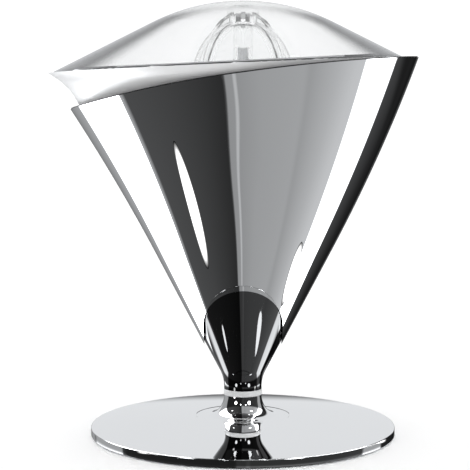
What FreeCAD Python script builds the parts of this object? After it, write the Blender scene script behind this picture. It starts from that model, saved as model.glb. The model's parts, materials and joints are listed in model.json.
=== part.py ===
import FreeCAD, Part
import math
import os
import re
import Sketcher
from FreeCAD import Rotation, Vector

# Electric citrus press: a leaning sheet-metal cone on a thin stem and a round base disc.
# Origin at the centre of the base's underside, +Z up, the pouring lip towards -X, the front -Y.

doc = FreeCAD.newDocument("citrus_press")

# Driving dimensions, in millimetres, degrees and counts.
SIZES = {
    # base
    "base_radius": 115, "rim_height": 7, "dome_height": 14.1, "dome_bow": 0.55, "cover_sheet": 1.5,
    "pad_thick": 1.5, "pad_margin": 4, "plate_thick": 1.2, "fit_gap": 0.3, "rim_round": 0.8,
    "ballast_inner": 24, "ballast_outer": 95, "ballast_step": 50, "ballast_low": 3.5, "ballast_high": 7.5,
    "base_screw_circle": 80, "base_screw_radius": 2, "base_screw_length": 4.2,
    # foot, ring and tie tube
    "flange_radius": 35.3, "flange_edge": 0.9, "recess_depth": 1.1, "neck_radius": 14.2, "neck_height": 30,
    "flare_radius": 19, "flare_turn": 25, "toe_radius": 13.5, "foot_bore": 7,
    "ring_height": 4.5, "ring_proud": 0.2, "ring_round": 0.6,
    "tube_radius": 5, "tube_bore": 3.4, "tube_end": 5, "tube_proud": 2, "nut_height": 6, "nut_radius": 8.5,
    "washer_thick": 1.2, "washer_radius": 13,
    "gland_height": 22, "gland_radius": 5, "gland_bore": 3.3, "gland_start": 9, "gland_length": 16,
    "gland_collar": 6.4, "gland_lip": 2.5,
    # cone
    "apex_height": 12.6, "cone_slope": 0.522, "lean_start": 140, "lean_rate": 0.00057,
    "shell_start": 62, "shell_sheet": 0.8, "layer_gap": 0.1, "core_inset": 1.6,
    "core_wall": 2, "core_top": 122, "core_blend": 26.9, "core_floor": 8,
    "rim_low": 245.8, "rim_mid": 272.8, "rim_high": 284.1, "rim_bow_left": 2.6, "rim_bow_right": 1.65,
    "arch_radius": 29.5, "arch_centre": 86.5, "arch_taper": 1.4,
    # motor frame and electrics
    "deck_height": 160, "deck_thick": 3, "frame_wall": 2.4, "frame_inset": 0.9, "frame_lip": 44,
    "board_drop": 8, "board_radius": 17, "board_thick": 1.6, "post_side": 12, "diode_radius": 1.6,
    "diode_length": 5, "diode_circle": 13, "terminal_length": 14, "terminal_depth": 9, "terminal_height": 8,
    # motor
    "can_radius": 21, "can_sheet": 1.2, "can_length": 54, "cap_height": 5, "cap_spigot": 2,
    "magnet_inner": 15.4, "magnet_length": 36, "magnet_lift": 12, "magnet_split": 9,
    "rotor_radius": 14.8, "rotor_length": 34,
    "commutator_radius": 5, "commutator_length": 9, "motor_shaft": 1.6, "shaft_stub": 1.5,
    "bush_radius": 3.5, "bush_length": 4.4, "slot_count": 7, "slot_width": 2.2, "slot_depth": 6,
    "brush_width": 4, "brush_height": 5, "brush_length": 5, "motor_boss": 6.5, "boss_height": 2.5,
    "motor_screw_circle": 15, "small_screw": 1.45, "small_head": 2.8, "small_head_height": 2,
    # gear train: all pinions have the same teeth, and so have all wheels
    "pinion_teeth": 10, "wheel_teeth": 44, "first_module": 0.8, "second_module": 1, "third_module": 1.25,
    "first_level": 165.5, "first_face": 6, "second_level": 174, "second_face": 6, "third_level": 185,
    "third_face": 8, "tooth_shift": 0.5, "tooth_play": 0.16, "pressure_angle": 20, "root_room": 0.25,
    "tooth_tip": 0.85, "flank_steps": 6,
    "arm_turn": 100, "motor_turn": 215, "pin_radius": 2, "idler_hub": 4, "running_gap": 0.05, "end_play": 0.5,
    # drive shaft and press travel
    "shaft_radius": 4, "shaft_top": 290, "shaft_flat": 3, "flat_level": 263,
    "lower_bush_radius": 6, "lower_bush_length": 12, "collar_radius": 10.7, "collar_level": 178,
    "collar_thick": 3, "spring_radius": 7.6, "spring_wire": 0.8, "spring_turns": 5, "output_hub": 7,
    "case_radius": 50, "case_wall": 2.5, "case_side": 10, "case_depth": 5, "case_top": 196,
    "ear_circle": 57, "ear_turn": 20, "ear_radius": 4.5, "ear_height": 4,
    "upper_bush_radius": 7, "upper_bush_length": 10,
    "upper_boss": 9, "boss_rise": 6, "seal_radius": 8, "seal_length": 8,
    # switch
    "switch_left": 38, "switch_length": 20, "switch_width": 6.4, "switch_height": 10,
    "button_side": 26, "button_radius": 1.2, "button_rise": 1.1, "cheek_rise": 4, "cheek_width": 4,
    "cheek_thick": 1, "lever_side": 34, "lever_level": 175.5, "lever_thick": 0.8, "lever_width": 4,
    "lever_reach": 8.9, "lever_bump": 2.6, "lever_eye": 1.8, "lever_pin": 1,
    # bowl and its cradle
    "cradle_floor": 218.7, "cradle_plate": 3, "cradle_gap": 0.6, "cradle_wall": 1.8, "flange_thick": 2,
    "flange_drop": -0.8, "skin_gap": 0.2, "collar_up": 5, "collar_wall": 2.6, "post_circle": 68.5, "post_turn": 45,
    "post_radius": 4, "post_screw_length": 9, "bowl_floor": 222, "bowl_sheet": 1, "bowl_rim": 279.3,
    "bowl_tilt": 2.6, "bowl_lip": 1.2, "clear_reach": 230,
    "chimney_radius": 13, "chimney_step": 252, "chimney_neck": 8, "chimney_top": 262,
    "base_gap": 21, "base_shift": 1.5,
    "heel_rise": 3, "heel_gap": 15.9, "heel_shift": 1.6, "low_rise": 13, "low_gap": 8.6, "low_shift": 1.6,
    "waist_rise": 27, "waist_gap": 6.6, "waist_shift": 2, "flare_rise": 36.5, "flare_gap": 7.6,
    "flare_shift": 1.3, "throat_rise": 44, "throat_gap": 7.1, "throat_shift": -0.65, "spout_rise": 50,
    "spout_gap": 5.5, "spout_shift": -3.85, "pour_rise": 57, "pour_gap": 4.7, "pour_shift": -6,
    "brim_rise": 64, "brim_gap": 3.9, "brim_shift": -8.2,
    # strainer
    "strainer_radius": 52, "strainer_floor": 255, "strainer_sheet": 1.5, "strainer_top": 269,
    "strainer_hub": 14, "slot_inner": 20, "slot_outer": 47, "strainer_slots": 36, "strainer_slot": 1.6,
    # reamer
    "reamer_base": 265.5, "bell_radius": 38.5, "bell_top": 311, "bell_knee": 27, "bell_crown_round": 34.5,
    "bell_side_round": 50.3, "bell_wall": 3, "skirt_radius": 43, "skirt_thick": 2, "fin_count": 8,
    "fin_thick": 3.4, "fin_radius": 41.5, "fin_top": 323, "fin_tip": 7, "fin_round": 53,
    "fin_shoulder": 12, "fin_shoulder_drop": 6.5, "crown_radius": 11.5, "crown_top": 321.5,
    "reamer_hub": 7, "socket_room": 0.5,
    # lid
    "lid_wall": 2, "lid_round": 150, "lid_slope": 26.6, "lid_margin": 2.3, "lid_seat": 4.1,
    "lid_lip": 2, "lid_lip_depth": 3,
}

sheet = doc.addObject("Spreadsheet::Sheet", "Sizes")
for row, (alias, amount) in enumerate(SIZES.items(), 1):
    sheet.set(f"A{row}", alias)
    sheet.set(f"B{row}", str(amount))
    sheet.setAlias(f"B{row}", alias)
doc.recompute()

nodes = []


def bind(text):
    """Write an expression on the sheet's cells from one that uses their bare names."""
    return re.sub(r"[a-z_]+", lambda m: "Sizes." + m.group() if m.group() in SIZES else m.group(), str(text))


def size(text):
    amount = sheet.evalExpression(bind(text))
    return float(getattr(amount, "Value", amount))


def keep(item, label):
    """Name a finished sub-part after its file."""
    item.Label = label
    nodes.append(item)
    return item


def place(item, x="0", y="0", z="0"):
    for letter, text in zip("xyz", (x, y, z)):
        item.setExpression(f"Placement.Base.{letter}", bind(text))
    return item


# ---- sketches and features -------------------------------------------------------------------------


def new_sketch(host, name, plane="XZ_Plane", level=None):
    """A sketch on one of the host body's origin planes, raised by level."""
    sketch = host.newObject("Sketcher::SketchObject", name)
    support = [item for item in host.Origin.OriginFeatures if item.Role == plane][0]
    sketch.AttachmentSupport = [(support, "")]
    sketch.MapMode = "FlatFace"
    if level is not None:
        sketch.setExpression("AttachmentOffset.Base.z", bind(level))
    return sketch


def hold(sketch, kind, first, second, text):
    """Fix a point's distance from the sketch's origin, along x or y."""
    if abs(size(text)) < 1e-9:
        axis = -2 if kind == "DistanceX" else -1
        sketch.addConstraint(Sketcher.Constraint("PointOnObject", first, second, axis))
        return
    index = sketch.addConstraint(Sketcher.Constraint(kind, -1, 1, first, second, size(text)))
    sketch.setExpression(f"Constraints[{index}]", bind(text))


def draw_outline(sketch, corners, bends=None):
    """A closed outline. bends maps a corner's index to the radius of the arc that leaves it:
    positive bulges to the left of the way to the next corner, negative to the right."""
    bends = bends or {}
    spots = [Vector(size(x), size(y), 0) for x, y in corners]
    edges = []
    for index, spot in enumerate(spots):
        after = spots[(index + 1) % len(spots)]
        if index in bends:
            radius = size(bends[index])
            chord = after - spot
            sag = abs(radius) - math.sqrt(radius ** 2 - (chord.Length / 2) ** 2)
            side = Vector(-chord.y, chord.x, 0).normalize() * math.copysign(sag, radius)
            edge = sketch.addGeometry(Part.Arc(spot, (spot + after) / 2 + side, after), False)
            turned = (sketch.getPoint(edge, 1) - spot).Length > 1e-6
            edges.append((edge, 2, 1) if turned else (edge, 1, 2))
        else:
            edges.append((sketch.addGeometry(Part.LineSegment(spot, after), False), 1, 2))
    for index, (edge, start, _) in enumerate(edges):
        before, _, finish = edges[index - 1]
        sketch.addConstraint(Sketcher.Constraint("Coincident", before, finish, edge, start))
        hold(sketch, "DistanceX", edge, start, corners[index][0])
        hold(sketch, "DistanceY", edge, start, corners[index][1])
        if index in bends:
            text = bends[index]
            fixed = sketch.addConstraint(Sketcher.Constraint("Radius", edge, abs(size(text))))
            sketch.setExpression(f"Constraints[{fixed}]", bind(f"abs({text})"))
    return sketch


def draw_circle(sketch, radius, x="0", y="0"):
    spot = Vector(size(x), size(y), 0)
    edge = sketch.addGeometry(Part.Circle(spot, Vector(0, 0, 1), size(radius)), False)
    fixed = sketch.addConstraint(Sketcher.Constraint("Radius", edge, size(radius)))
    sketch.setExpression(f"Constraints[{fixed}]", bind(radius))
    hold(sketch, "DistanceX", edge, 3, x)
    hold(sketch, "DistanceY", edge, 3, y)
    return sketch


def draw_box(sketch, x, y, wide, deep):
    """A rectangle from its corner nearest minus x and minus y."""
    far_x, far_y = f"{x} + {wide}", f"{y} + {deep}"
    return draw_outline(sketch, [(x, y), (far_x, y), (far_x, far_y), (x, far_y)])


def new_body(name):
    return doc.addObject("PartDesign::Body", name)


def revolve(host, name, corners, bends=None, cut=False):
    """Turn an outline of (radius, height) corners round the body's vertical axis."""
    sketch = draw_outline(new_sketch(host, name + "_outline"), corners, bends)
    feature = host.newObject("PartDesign::Groove" if cut else "PartDesign::Revolution", name)
    feature.Profile = sketch
    feature.ReferenceAxis = (sketch, ["V_Axis"])
    feature.Angle = 360
    sketch.Visibility = False
    return feature


def raise_pad(host, name, sketch, height, cut=False, both=False):
    """Pad, or pocket downwards, from a sketch."""
    feature = host.newObject("PartDesign::Pocket" if cut else "PartDesign::Pad", name)
    feature.Profile = sketch
    feature.setExpression("Length", bind(height))
    if both:
        feature.SideType = "Symmetric"
    return feature


def cut_through(host, name, sketch):
    feature = host.newObject("PartDesign::Pocket", name)
    feature.Profile = sketch
    feature.Type = "ThroughAll"
    feature.SideType = "Symmetric"
    return feature


def repeat_round(host, name, features, count):
    pattern = host.newObject("PartDesign::PolarPattern", name)
    pattern.Originals = features
    axis = [item for item in host.Origin.OriginFeatures if item.Role == "Z_Axis"][0]
    pattern.Axis = (axis, [""])
    pattern.Angle = 360
    pattern.setExpression("Occurrences", bind(count))
    host.Tip = pattern
    return pattern


def tube(name, outer, inner, level, height, x="0", y="0"):
    """A plain turned ring or, with no inner radius, a disc."""
    host = new_body(name)
    sketch = draw_circle(new_sketch(host, name + "_plan", "XY_Plane", level), outer)
    if inner:
        draw_circle(sketch, inner)
    raise_pad(host, name + "_pad", sketch, height)
    return place(host, x, y)


def loft(host, name, sections, cut=False):
    """Join level circles, each (height, radius, centre x), with a smooth skin."""
    rings = []
    for index, (level, radius, x) in enumerate(sections):
        sketch = new_sketch(host, f"{name}_{index}", "XY_Plane", level)
        rings.append(draw_circle(sketch, radius, x))
    doc.recompute()
    feature = host.newObject("PartDesign::SubtractiveLoft" if cut else "PartDesign::AdditiveLoft", name)
    feature.Profile = rings[0]
    feature.Sections = rings[1:]
    return feature


# ---- the leaning cone ------------------------------------------------------------------------------


def cone_radius(level):
    return f"(cone_slope * (({level}) - apex_height))"


def cone_centre(level):
    return f"(-lean_rate * max(({level}) - lean_start; 0) ^ 2)"


def cone_sections(levels, inset):
    return [(level, f"{cone_radius(level)} - ({inset})", cone_centre(level)) for level in levels]


def draw_rim(sketch, drop="0"):
    """The slanted rim line, closed high above it: what lies inside is cut away."""
    low, mid, high = (f"{name} - ({drop})" for name in ("rim_low", "rim_mid", "rim_high"))
    left = f"{cone_centre('rim_low')} - {cone_radius('rim_low')}"
    right = f"{cone_centre('rim_high')} + {cone_radius('rim_high')}"
    wide, top = "clear_reach", "rim_high + clear_reach"

    def bow(x_one, z_one, x_two, z_two, rise):
        chord = f"(({x_two}) - ({x_one})) ^ 2 / 8 / {rise}"
        return f"{chord} * (1 + ((({z_two}) - ({z_one})) / (({x_two}) - ({x_one}))) ^ 2) + {rise} / 2"

    corners = [(f"-{wide}", low), (left, low), ("0", mid), (right, high), (wide, high),
               (wide, top), (f"-{wide}", top)]
    bends = {1: bow(left, low, "0", mid, "rim_bow_left"), 2: bow("0", mid, right, high, "rim_bow_right")}
    return draw_outline(sketch, corners, bends)


def draw_arch(sketch):
    """The arched window: a round head on legs that taper a little."""
    foot, toe = "core_wall", "arch_radius - arch_taper"
    corners = [("arch_radius", "arch_centre"), ("0", "arch_centre + arch_radius"),
               ("-arch_radius", "arch_centre"), (f"-({toe})", foot), (toe, foot)]
    return draw_outline(sketch, corners, {0: "-arch_radius", 1: "-arch_radius"})


# ---- base ------------------------------------------------------------------------------------------

plate_level = "pad_thick + plate_thick"
recess_level = "dome_height - recess_depth"
dome_run = "(base_radius - rim_round - flange_radius - fit_gap)"
dome_bend = f"({dome_run} ^ 2 + (dome_height - rim_height) ^ 2) / 8 / dome_bow + dome_bow / 2"

keep(tube("base_pad", "base_radius - pad_margin", None, "0", "pad_thick"), "base_pad")

plate = new_body("bottom_plate")
plate_plan = draw_circle(new_sketch(plate, "plate_plan", "XY_Plane", "pad_thick"),
                         "base_radius - cover_sheet - fit_gap")
raise_pad(plate, "plate_pad", plate_plan, "plate_thick")
plate_hole = draw_circle(new_sketch(plate, "plate_hole", "XY_Plane", plate_level),
                         "base_screw_radius + fit_gap / 2", "base_screw_circle")
screw_hole = raise_pad(plate, "screw_hole", plate_hole, "plate_thick", cut=True)
repeat_round(plate, "screw_holes", [screw_hole], "4")
keep(plate, "bottom_plate")

ballast = new_body("base_ballast")
revolve(ballast, "ballast_disc", [
    ("ballast_inner", plate_level), ("ballast_outer", plate_level),
    ("ballast_outer", f"{plate_level} + ballast_low"), ("ballast_step", f"{plate_level} + ballast_high"),
    ("ballast_inner", f"{plate_level} + ballast_high")])
tapped_top = f"{plate_level} + base_screw_length - plate_thick"
tapped = draw_circle(new_sketch(ballast, "tapped_plan", "XY_Plane", tapped_top), "base_screw_radius",
                     "base_screw_circle")
tapped_hole = raise_pad(ballast, "tapped_hole", tapped, "base_screw_length", cut=True)
repeat_round(ballast, "tapped_holes", [tapped_hole], "4")
keep(ballast, "base_ballast")

cover = new_body("base_cover")
revolve(cover, "cover_sheet_metal", [
    ("base_radius", "pad_thick"), ("base_radius", "rim_height - rim_round"),
    ("base_radius - rim_round", "rim_height"), ("flange_radius + fit_gap", "dome_height"),
    ("flange_radius + fit_gap", recess_level), ("tube_radius + running_gap", recess_level),
    ("tube_radius + running_gap", f"{recess_level} - cover_sheet"),
    ("flange_radius + fit_gap + cover_sheet", f"{recess_level} - cover_sheet"),
    ("flange_radius + fit_gap + cover_sheet", "dome_height - cover_sheet"),
    ("base_radius - cover_sheet", "rim_height - cover_sheet"), ("base_radius - cover_sheet", "pad_thick")],
    {1: "-rim_round", 2: dome_bend})
keep(cover, "base_cover")


def screws(label, spots, level, radius, length, head, head_height, up=True):
    """A group of equal screws: shank and head, pointing up from or down to level."""
    group = []
    for index, (x, y) in enumerate(spots):
        shank = doc.addObject("Part::Cylinder", f"{label}_shank_{index}")
        shank.setExpression("Radius", bind(radius))
        shank.setExpression("Height", bind(length))
        cap = doc.addObject("Part::Cylinder", f"{label}_head_{index}")
        cap.setExpression("Radius", bind(head))
        cap.setExpression("Height", bind(head_height))
        place(shank, x, y, level if up else f"{level} - ({length})")
        place(cap, x, y, f"{level} - ({head_height})" if up else level)
        screw = doc.addObject("Part::Fuse", f"{label}_{index}")
        screw.Base, screw.Tool = shank, cap
        group.append(screw)
    whole = doc.addObject("Part::Compound", label)
    whole.Links = group
    return keep(whole, label)


def round_spots(radius, count, start="0", x="0", y="0"):
    """Equal places round a circle, the first at the angle start."""
    turns = [f"{start} + {360 / count * index}" for index in range(count)]
    return [(f"{x} + {radius} * cos({turn})", f"{y} + {radius} * sin({turn})") for turn in turns]


def cylinders(label, spots, level, radius, height):
    """A group of equal upright rods."""
    group = []
    for index, (x, y) in enumerate(spots):
        rod = doc.addObject("Part::Cylinder", f"{label}_{index}")
        rod.setExpression("Radius", bind(radius))
        rod.setExpression("Height", bind(height))
        group.append(place(rod, x, y, level))
    whole = doc.addObject("Part::Compound", label)
    whole.Links = group
    return keep(whole, label)


cylinders("base_screws", round_spots("base_screw_circle", 4), "pad_thick + layer_gap", "base_screw_radius",
          "base_screw_length - layer_gap")

# ---- foot, ring, core and the tube that ties them --------------------------------------------------

flare_x = "neck_radius + flare_radius"
turn_x = f"{flare_x} - flare_radius * cos(flare_turn)"
turn_z = "neck_height - flare_radius * sin(flare_turn)"
toe_slope = "atan((dome_height - rim_height) / (base_radius - flange_radius))"
toe_x = f"{turn_x} + toe_radius * (cos(flare_turn) - sin({toe_slope}))"
toe_z = f"{turn_z} + toe_radius * (sin(flare_turn) - cos({toe_slope}))"

foot = new_body("stem_foot")
revolve(foot, "foot_casting", [
    ("foot_bore", recess_level), ("flange_radius", recess_level),
    ("flange_radius", f"{recess_level} + flange_edge"), (toe_x, toe_z), (turn_x, turn_z),
    ("neck_radius", "neck_height"), ("foot_bore", "neck_height")],
    {3: "toe_radius", 4: "flare_radius"})
gland_seat = draw_circle(new_sketch(foot, "gland_seat"), "gland_radius + fit_gap / 2", "0", "gland_height")
seat_hole = raise_pad(foot, "seat_hole", gland_seat, "flange_radius", cut=True)
keep(foot, "stem_foot")

gland = new_body("cord_gland")
gland_outline = new_sketch(gland, "gland_outline", "XY_Plane")
draw_outline(gland_outline, [
    ("gland_bore", "gland_start"), ("gland_radius", "gland_start"),
    ("gland_radius", "gland_start + gland_length - gland_lip"),
    ("gland_collar", "gland_start + gland_length - gland_lip"),
    ("gland_collar", "gland_start + gland_length"), ("gland_bore", "gland_start + gland_length")])
gland_turning = gland.newObject("PartDesign::Revolution", "gland_turning")
gland_turning.Profile = gland_outline
gland_turning.ReferenceAxis = (gland_outline, ["V_Axis"])
gland_turning.Angle = 360
keep(place(gland, z="gland_height"), "cord_gland")

ring_radius = "neck_radius + ring_proud"
ring_top = "neck_height + ring_height"
ring = new_body("neck_ring")
revolve(ring, "ring_turning", [
    ("foot_bore", "neck_height"), (f"{ring_radius} - ring_round", "neck_height"),
    (ring_radius, "neck_height + ring_round"), (ring_radius, f"{ring_top} - ring_round"),
    (f"{ring_radius} - ring_round", ring_top), ("foot_bore", ring_top)],
    {1: "-ring_round", 3: "-ring_round"})
keep(ring, "neck_ring")


def core_radius(level):
    return f"({cone_radius(level)} - core_inset)"


# The core's neck blends into its cone with one arc, tangent to both.
slope_turn = "atan(cone_slope)"
kink = "(neck_radius + core_inset) / cone_slope + apex_height"
tangent = f"core_blend * tan({slope_turn} / 2)"
blend_low = f"{kink} - {tangent}"
blend_high = f"{kink} + {tangent} * cos({slope_turn})"
core_waist = f"{ring_top} + 2 * core_floor"
core = new_body("stem_core")
revolve(core, "core_spinning", [
    ("tube_radius + running_gap", ring_top), ("neck_radius", ring_top), ("neck_radius", blend_low),
    (core_radius(blend_high), blend_high), (core_radius("core_top"), "core_top"),
    (f"{core_radius('core_top')} - core_wall", "core_top"),
    (f"{core_radius(core_waist)} - core_wall", core_waist),
    ("nut_radius + fit_gap", f"{ring_top} + core_floor"),
    ("tube_radius + running_gap", f"{ring_top} + core_floor")],
    {2: "core_blend"})
keep(core, "stem_core")

tie = tube("tie_tube", "tube_radius", "tube_bore", "tube_end",
           f"{ring_top} + core_floor + nut_height + washer_thick + tube_proud - tube_end")
keep(tie, "tie_tube")


def hexagon_nut(name, level):
    nut = new_body(name)
    sketch = new_sketch(nut, name + "_plan", "XY_Plane", level)
    draw_outline(sketch, round_spots("nut_radius", 6))
    draw_circle(sketch, "tube_radius + running_gap")
    raise_pad(nut, name + "_pad", sketch, "nut_height")
    return nut


under_cover = f"{recess_level} - cover_sheet - washer_thick"
over_floor = f"{ring_top} + core_floor"
nuts = doc.addObject("Part::Compound", "tie_nuts")
nuts.Links = [hexagon_nut("lower_nut", f"{under_cover} - nut_height"),
              hexagon_nut("upper_nut", f"{over_floor} + washer_thick")]
keep(nuts, "tie_nuts")
washers = doc.addObject("Part::Compound", "tie_washers")
tube_hole = "tube_radius + running_gap"
washers.Links = [tube("lower_washer", "washer_radius", tube_hole, under_cover, "washer_thick"),
                 tube("upper_washer", "nut_radius", tube_hole, over_floor, "washer_thick")]
keep(washers, "tie_washers")

# ---- shell ------------------------------------------------------------------------------------------

shell_levels = ["shell_start", "core_top", "lean_start", "(lean_start + rim_low) / 2", "rim_low",
                "rim_high + flange_thick"]

shell = new_body("outer_shell")
loft(shell, "shell_outside", cone_sections(shell_levels, "0"))
loft(shell, "shell_inside", cone_sections(shell_levels, "shell_sheet"), cut=True)
cut_through(shell, "rim_cut", draw_rim(new_sketch(shell, "rim_line")))
cut_through(shell, "arch_cut", draw_arch(new_sketch(shell, "arch_line")))
keep(shell, "outer_shell")

# ---- places of the motor and the gear axles --------------------------------------------------------

deck_top = "deck_height + deck_thick"
tooth_sum = "(pinion_teeth + wheel_teeth) / 2"
far_x, far_y = f"third_module * {tooth_sum}", "0"
near_x = f"{far_x} + second_module * {tooth_sum} * cos(arm_turn)"
near_y = f"second_module * {tooth_sum} * sin(arm_turn)"
motor_x = f"({near_x} + first_module * {tooth_sum} * cos(motor_turn))"
motor_y = f"({near_y} + first_module * {tooth_sum} * sin(motor_turn))"
screw_side = [(f"{motor_x} + {sign} * motor_screw_circle * sin(motor_turn)",
               f"{motor_y} - {sign} * motor_screw_circle * cos(motor_turn)") for sign in (1, -1)]
post_spots = round_spots("post_circle", 4, "post_turn")
ear_spots = round_spots("ear_circle", 4, "ear_turn")
ear_places = [(f"case_side + {x}", f"case_depth + {y}") for x, y in ear_spots]


def drill(host, name, level, depth, holes):
    """Round holes (radius, x, y) going down from level."""
    sketch = new_sketch(host, name + "_plan", "XY_Plane", level)
    for radius, x, y in holes:
        draw_circle(sketch, radius, x, y)
    return raise_pad(host, name, sketch, depth, cut=True)


# ---- motor frame -----------------------------------------------------------------------------------


def frame_radius(level):
    return f"({cone_radius(level)} - shell_sheet - frame_inset)"


frame_low = "core_top + fit_gap"
frame = new_body("motor_frame")
revolve(frame, "frame_moulding", [
    ("frame_lip", frame_low), (frame_radius(frame_low), frame_low), (frame_radius(deck_top), deck_top),
    ("0", deck_top), ("0", "deck_height"), (f"{frame_radius('deck_height')} - frame_wall", "deck_height"),
    (f"{frame_radius('core_top + deck_thick')} - frame_wall", "core_top + deck_thick"),
    ("frame_lip", "core_top + deck_thick")])
doc.recompute()
drill(frame, "deck_holes", deck_top, "deck_thick", [
    ("lower_bush_radius", "0", "0"), ("motor_boss + fit_gap", motor_x, motor_y),
    ("pin_radius", far_x, far_y), ("pin_radius", near_x, near_y)]
    + [("small_screw", x, y) for x, y in screw_side + post_spots + ear_places])
keep(frame, "motor_frame")

# ---- motor, drawn about its own axis with the deck's underside as height 0 -------------------------

can_inside = "can_radius - can_sheet"
can_low = "-can_length"


def seat_motor(item):
    return place(item, motor_x, motor_y, "deck_height")


can = new_body("motor_can")
revolve(can, "can_drawing", [
    (can_inside, can_low), ("can_radius", can_low), ("can_radius", "0"), ("motor_boss", "0"),
    ("motor_boss", "boss_height"), ("bush_radius", "boss_height"), ("bush_radius", "boss_height - bush_length"),
    ("motor_boss", "boss_height - bush_length"), ("motor_boss", "-can_sheet"), (can_inside, "-can_sheet")])
doc.recompute()
drill(can, "can_threads", "0", "can_sheet", [
    ("small_screw", f"{sign} * motor_screw_circle * sin(motor_turn)",
     f"-{sign} * motor_screw_circle * cos(motor_turn)") for sign in (1, -1)])
keep(seat_motor(can), "motor_can")

cap = new_body("motor_end_cap")
revolve(cap, "cap_moulding", [
    ("bush_radius", f"{can_low} - cap_height"), ("can_radius", f"{can_low} - cap_height"),
    ("can_radius", can_low), (f"{can_inside} - layer_gap", can_low),
    (f"{can_inside} - layer_gap", f"{can_low} + cap_spigot"), ("bush_radius", f"{can_low} + cap_spigot")])
keep(seat_motor(cap), "motor_end_cap")

top_bush = tube("top_motor_bush", "bush_radius", "motor_shaft + running_gap / 2", "boss_height - bush_length",
                "bush_length")
end_bush = tube("end_motor_bush", "bush_radius", "motor_shaft + running_gap / 2",
                f"{can_low} - cap_height + shaft_stub", "bush_length")
bushes = doc.addObject("Part::Compound", "motor_bushes")
bushes.Links = [top_bush, end_bush]
keep(seat_motor(bushes), "motor_bushes")

magnets = new_body("motor_magnets")
magnet_low = f"{can_low} + magnet_lift"
magnet_plan = draw_circle(new_sketch(magnets, "magnet_plan", "XY_Plane", magnet_low),
                          f"{can_inside} - layer_gap / 2")
draw_circle(magnet_plan, "magnet_inner")
raise_pad(magnets, "magnet_ring", magnet_plan, "magnet_length")
split = new_sketch(magnets, "magnet_split_plan")
draw_box(split, "-magnet_split / 2", can_low, "magnet_split", "can_length")
cut_through(magnets, "magnet_split", split)
keep(seat_motor(magnets), "motor_magnets")

commutator_low = f"{can_low} + cap_spigot + end_play"
brush_pair = []
for side in (1, -1):
    brush = doc.addObject("Part::Box", "brush")
    for prop, text in (("Length", "brush_length"), ("Width", "brush_width"), ("Height", "brush_height")):
        brush.setExpression(prop, bind(text))
    start = "commutator_radius + running_gap"
    brush_pair.append(place(brush, start if side > 0 else f"-({start}) - brush_length", "-brush_width / 2",
                            f"{can_low} + cap_spigot"))
brushes = doc.addObject("Part::Compound", "motor_brushes")
brushes.Links = brush_pair
keep(seat_motor(brushes), "motor_brushes")

rotor_low = f"{can_low} - cap_height + shaft_stub"
rotor_top = "first_level + first_face + end_play - deck_height"
keep(seat_motor(tube("rotor_shaft", "motor_shaft", None, rotor_low, f"{rotor_top} - ({rotor_low})")),
     "rotor_shaft")
keep(seat_motor(tube("commutator", "commutator_radius", "motor_shaft", commutator_low, "commutator_length")),
     "commutator")
rotor = new_body("rotor_core")
core_low = f"{commutator_low} + commutator_length + 2 * fit_gap"
rotor_plan = draw_circle(new_sketch(rotor, "rotor_plan", "XY_Plane", core_low), "rotor_radius")
draw_circle(rotor_plan, "motor_shaft")
raise_pad(rotor, "rotor_stack", rotor_plan, "rotor_length")
slot = new_sketch(rotor, "rotor_slot_plan", "XY_Plane", f"{core_low} + rotor_length")
draw_box(slot, "rotor_radius - slot_depth", "-slot_width / 2", "slot_depth + slot_width", "slot_width")
rotor_slot = raise_pad(rotor, "rotor_slot", slot, "rotor_length", cut=True)
repeat_round(rotor, "rotor_slots", [rotor_slot], "slot_count")
keep(seat_motor(rotor), "rotor_core")

screws("motor_screws", screw_side, deck_top, "small_screw", "deck_thick + can_sheet", "small_head",
       "small_head_height", up=False)

# ---- rectifier board under the motor's end cap -----------------------------------------------------

board_top = "deck_height - can_length - cap_height - board_drop"
board_low = f"{board_top} - board_thick"
keep(place(tube("rectifier_board", "board_radius", None, board_low, "board_thick"), motor_x, motor_y),
     "rectifier_board")
cylinders("board_posts", [(f"{motor_x} - post_side", motor_y), (f"{motor_x} + post_side", motor_y)],
          board_top, "2 * diode_radius", "board_drop")
cylinders("board_diodes", round_spots("diode_circle", 4, "post_turn", motor_x, motor_y),
          f"{board_low} - diode_length", "diode_radius", "diode_length")
terminals = new_body("terminal_block")
terminal_plan = new_sketch(terminals, "terminal_plan", "XY_Plane", f"{board_low} - terminal_height")
draw_box(terminal_plan, "-terminal_length / 2", "-terminal_depth / 2", "terminal_length", "terminal_depth")
raise_pad(terminals, "terminal_pad", terminal_plan, "terminal_height")
drill(terminals, "wire_holes", board_low, "terminal_height", [
    ("diode_radius", "-terminal_length / 4", "0"), ("diode_radius", "terminal_length / 4", "0")])
keep(place(terminals, motor_x, motor_y), "terminal_block")

# ---- gears -----------------------------------------------------------------------------------------


def gear_blank(teeth, module, shift, tooth_at, level, face):
    """A spur gear of flat-faced involute teeth, one of them centred on the direction tooth_at."""
    pressure = math.radians(size("pressure_angle"))
    pitch = module * teeth / 2
    base = pitch * math.cos(pressure)
    tip = pitch + module * (size("tooth_tip") + shift)
    root = pitch - module * (1 + size("root_room") - shift)
    thick = module * (math.pi / 2 + 2 * shift * math.tan(pressure)) - size("tooth_play")
    involute = math.tan(pressure) - pressure
    steps = int(size("flank_steps"))

    def half_turn(radius):
        roll = math.acos(min(1, base / radius))
        return thick / 2 / pitch + involute - (math.tan(roll) - roll)

    flank = [root + (tip - root) * step / steps for step in range(steps + 1)]
    spots = []
    for tooth in range(teeth):
        middle = math.radians(tooth_at) + 2 * math.pi * tooth / teeth
        turns = [(radius, middle - half_turn(radius)) for radius in flank]
        turns += [(radius, middle + half_turn(radius)) for radius in reversed(flank)]
        spots += [Vector(radius * math.cos(turn), radius * math.sin(turn), level) for radius, turn in turns]
    return Part.Face(Part.makePolygon(spots + spots[:1])).extrude(Vector(0, 0, face))


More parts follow.
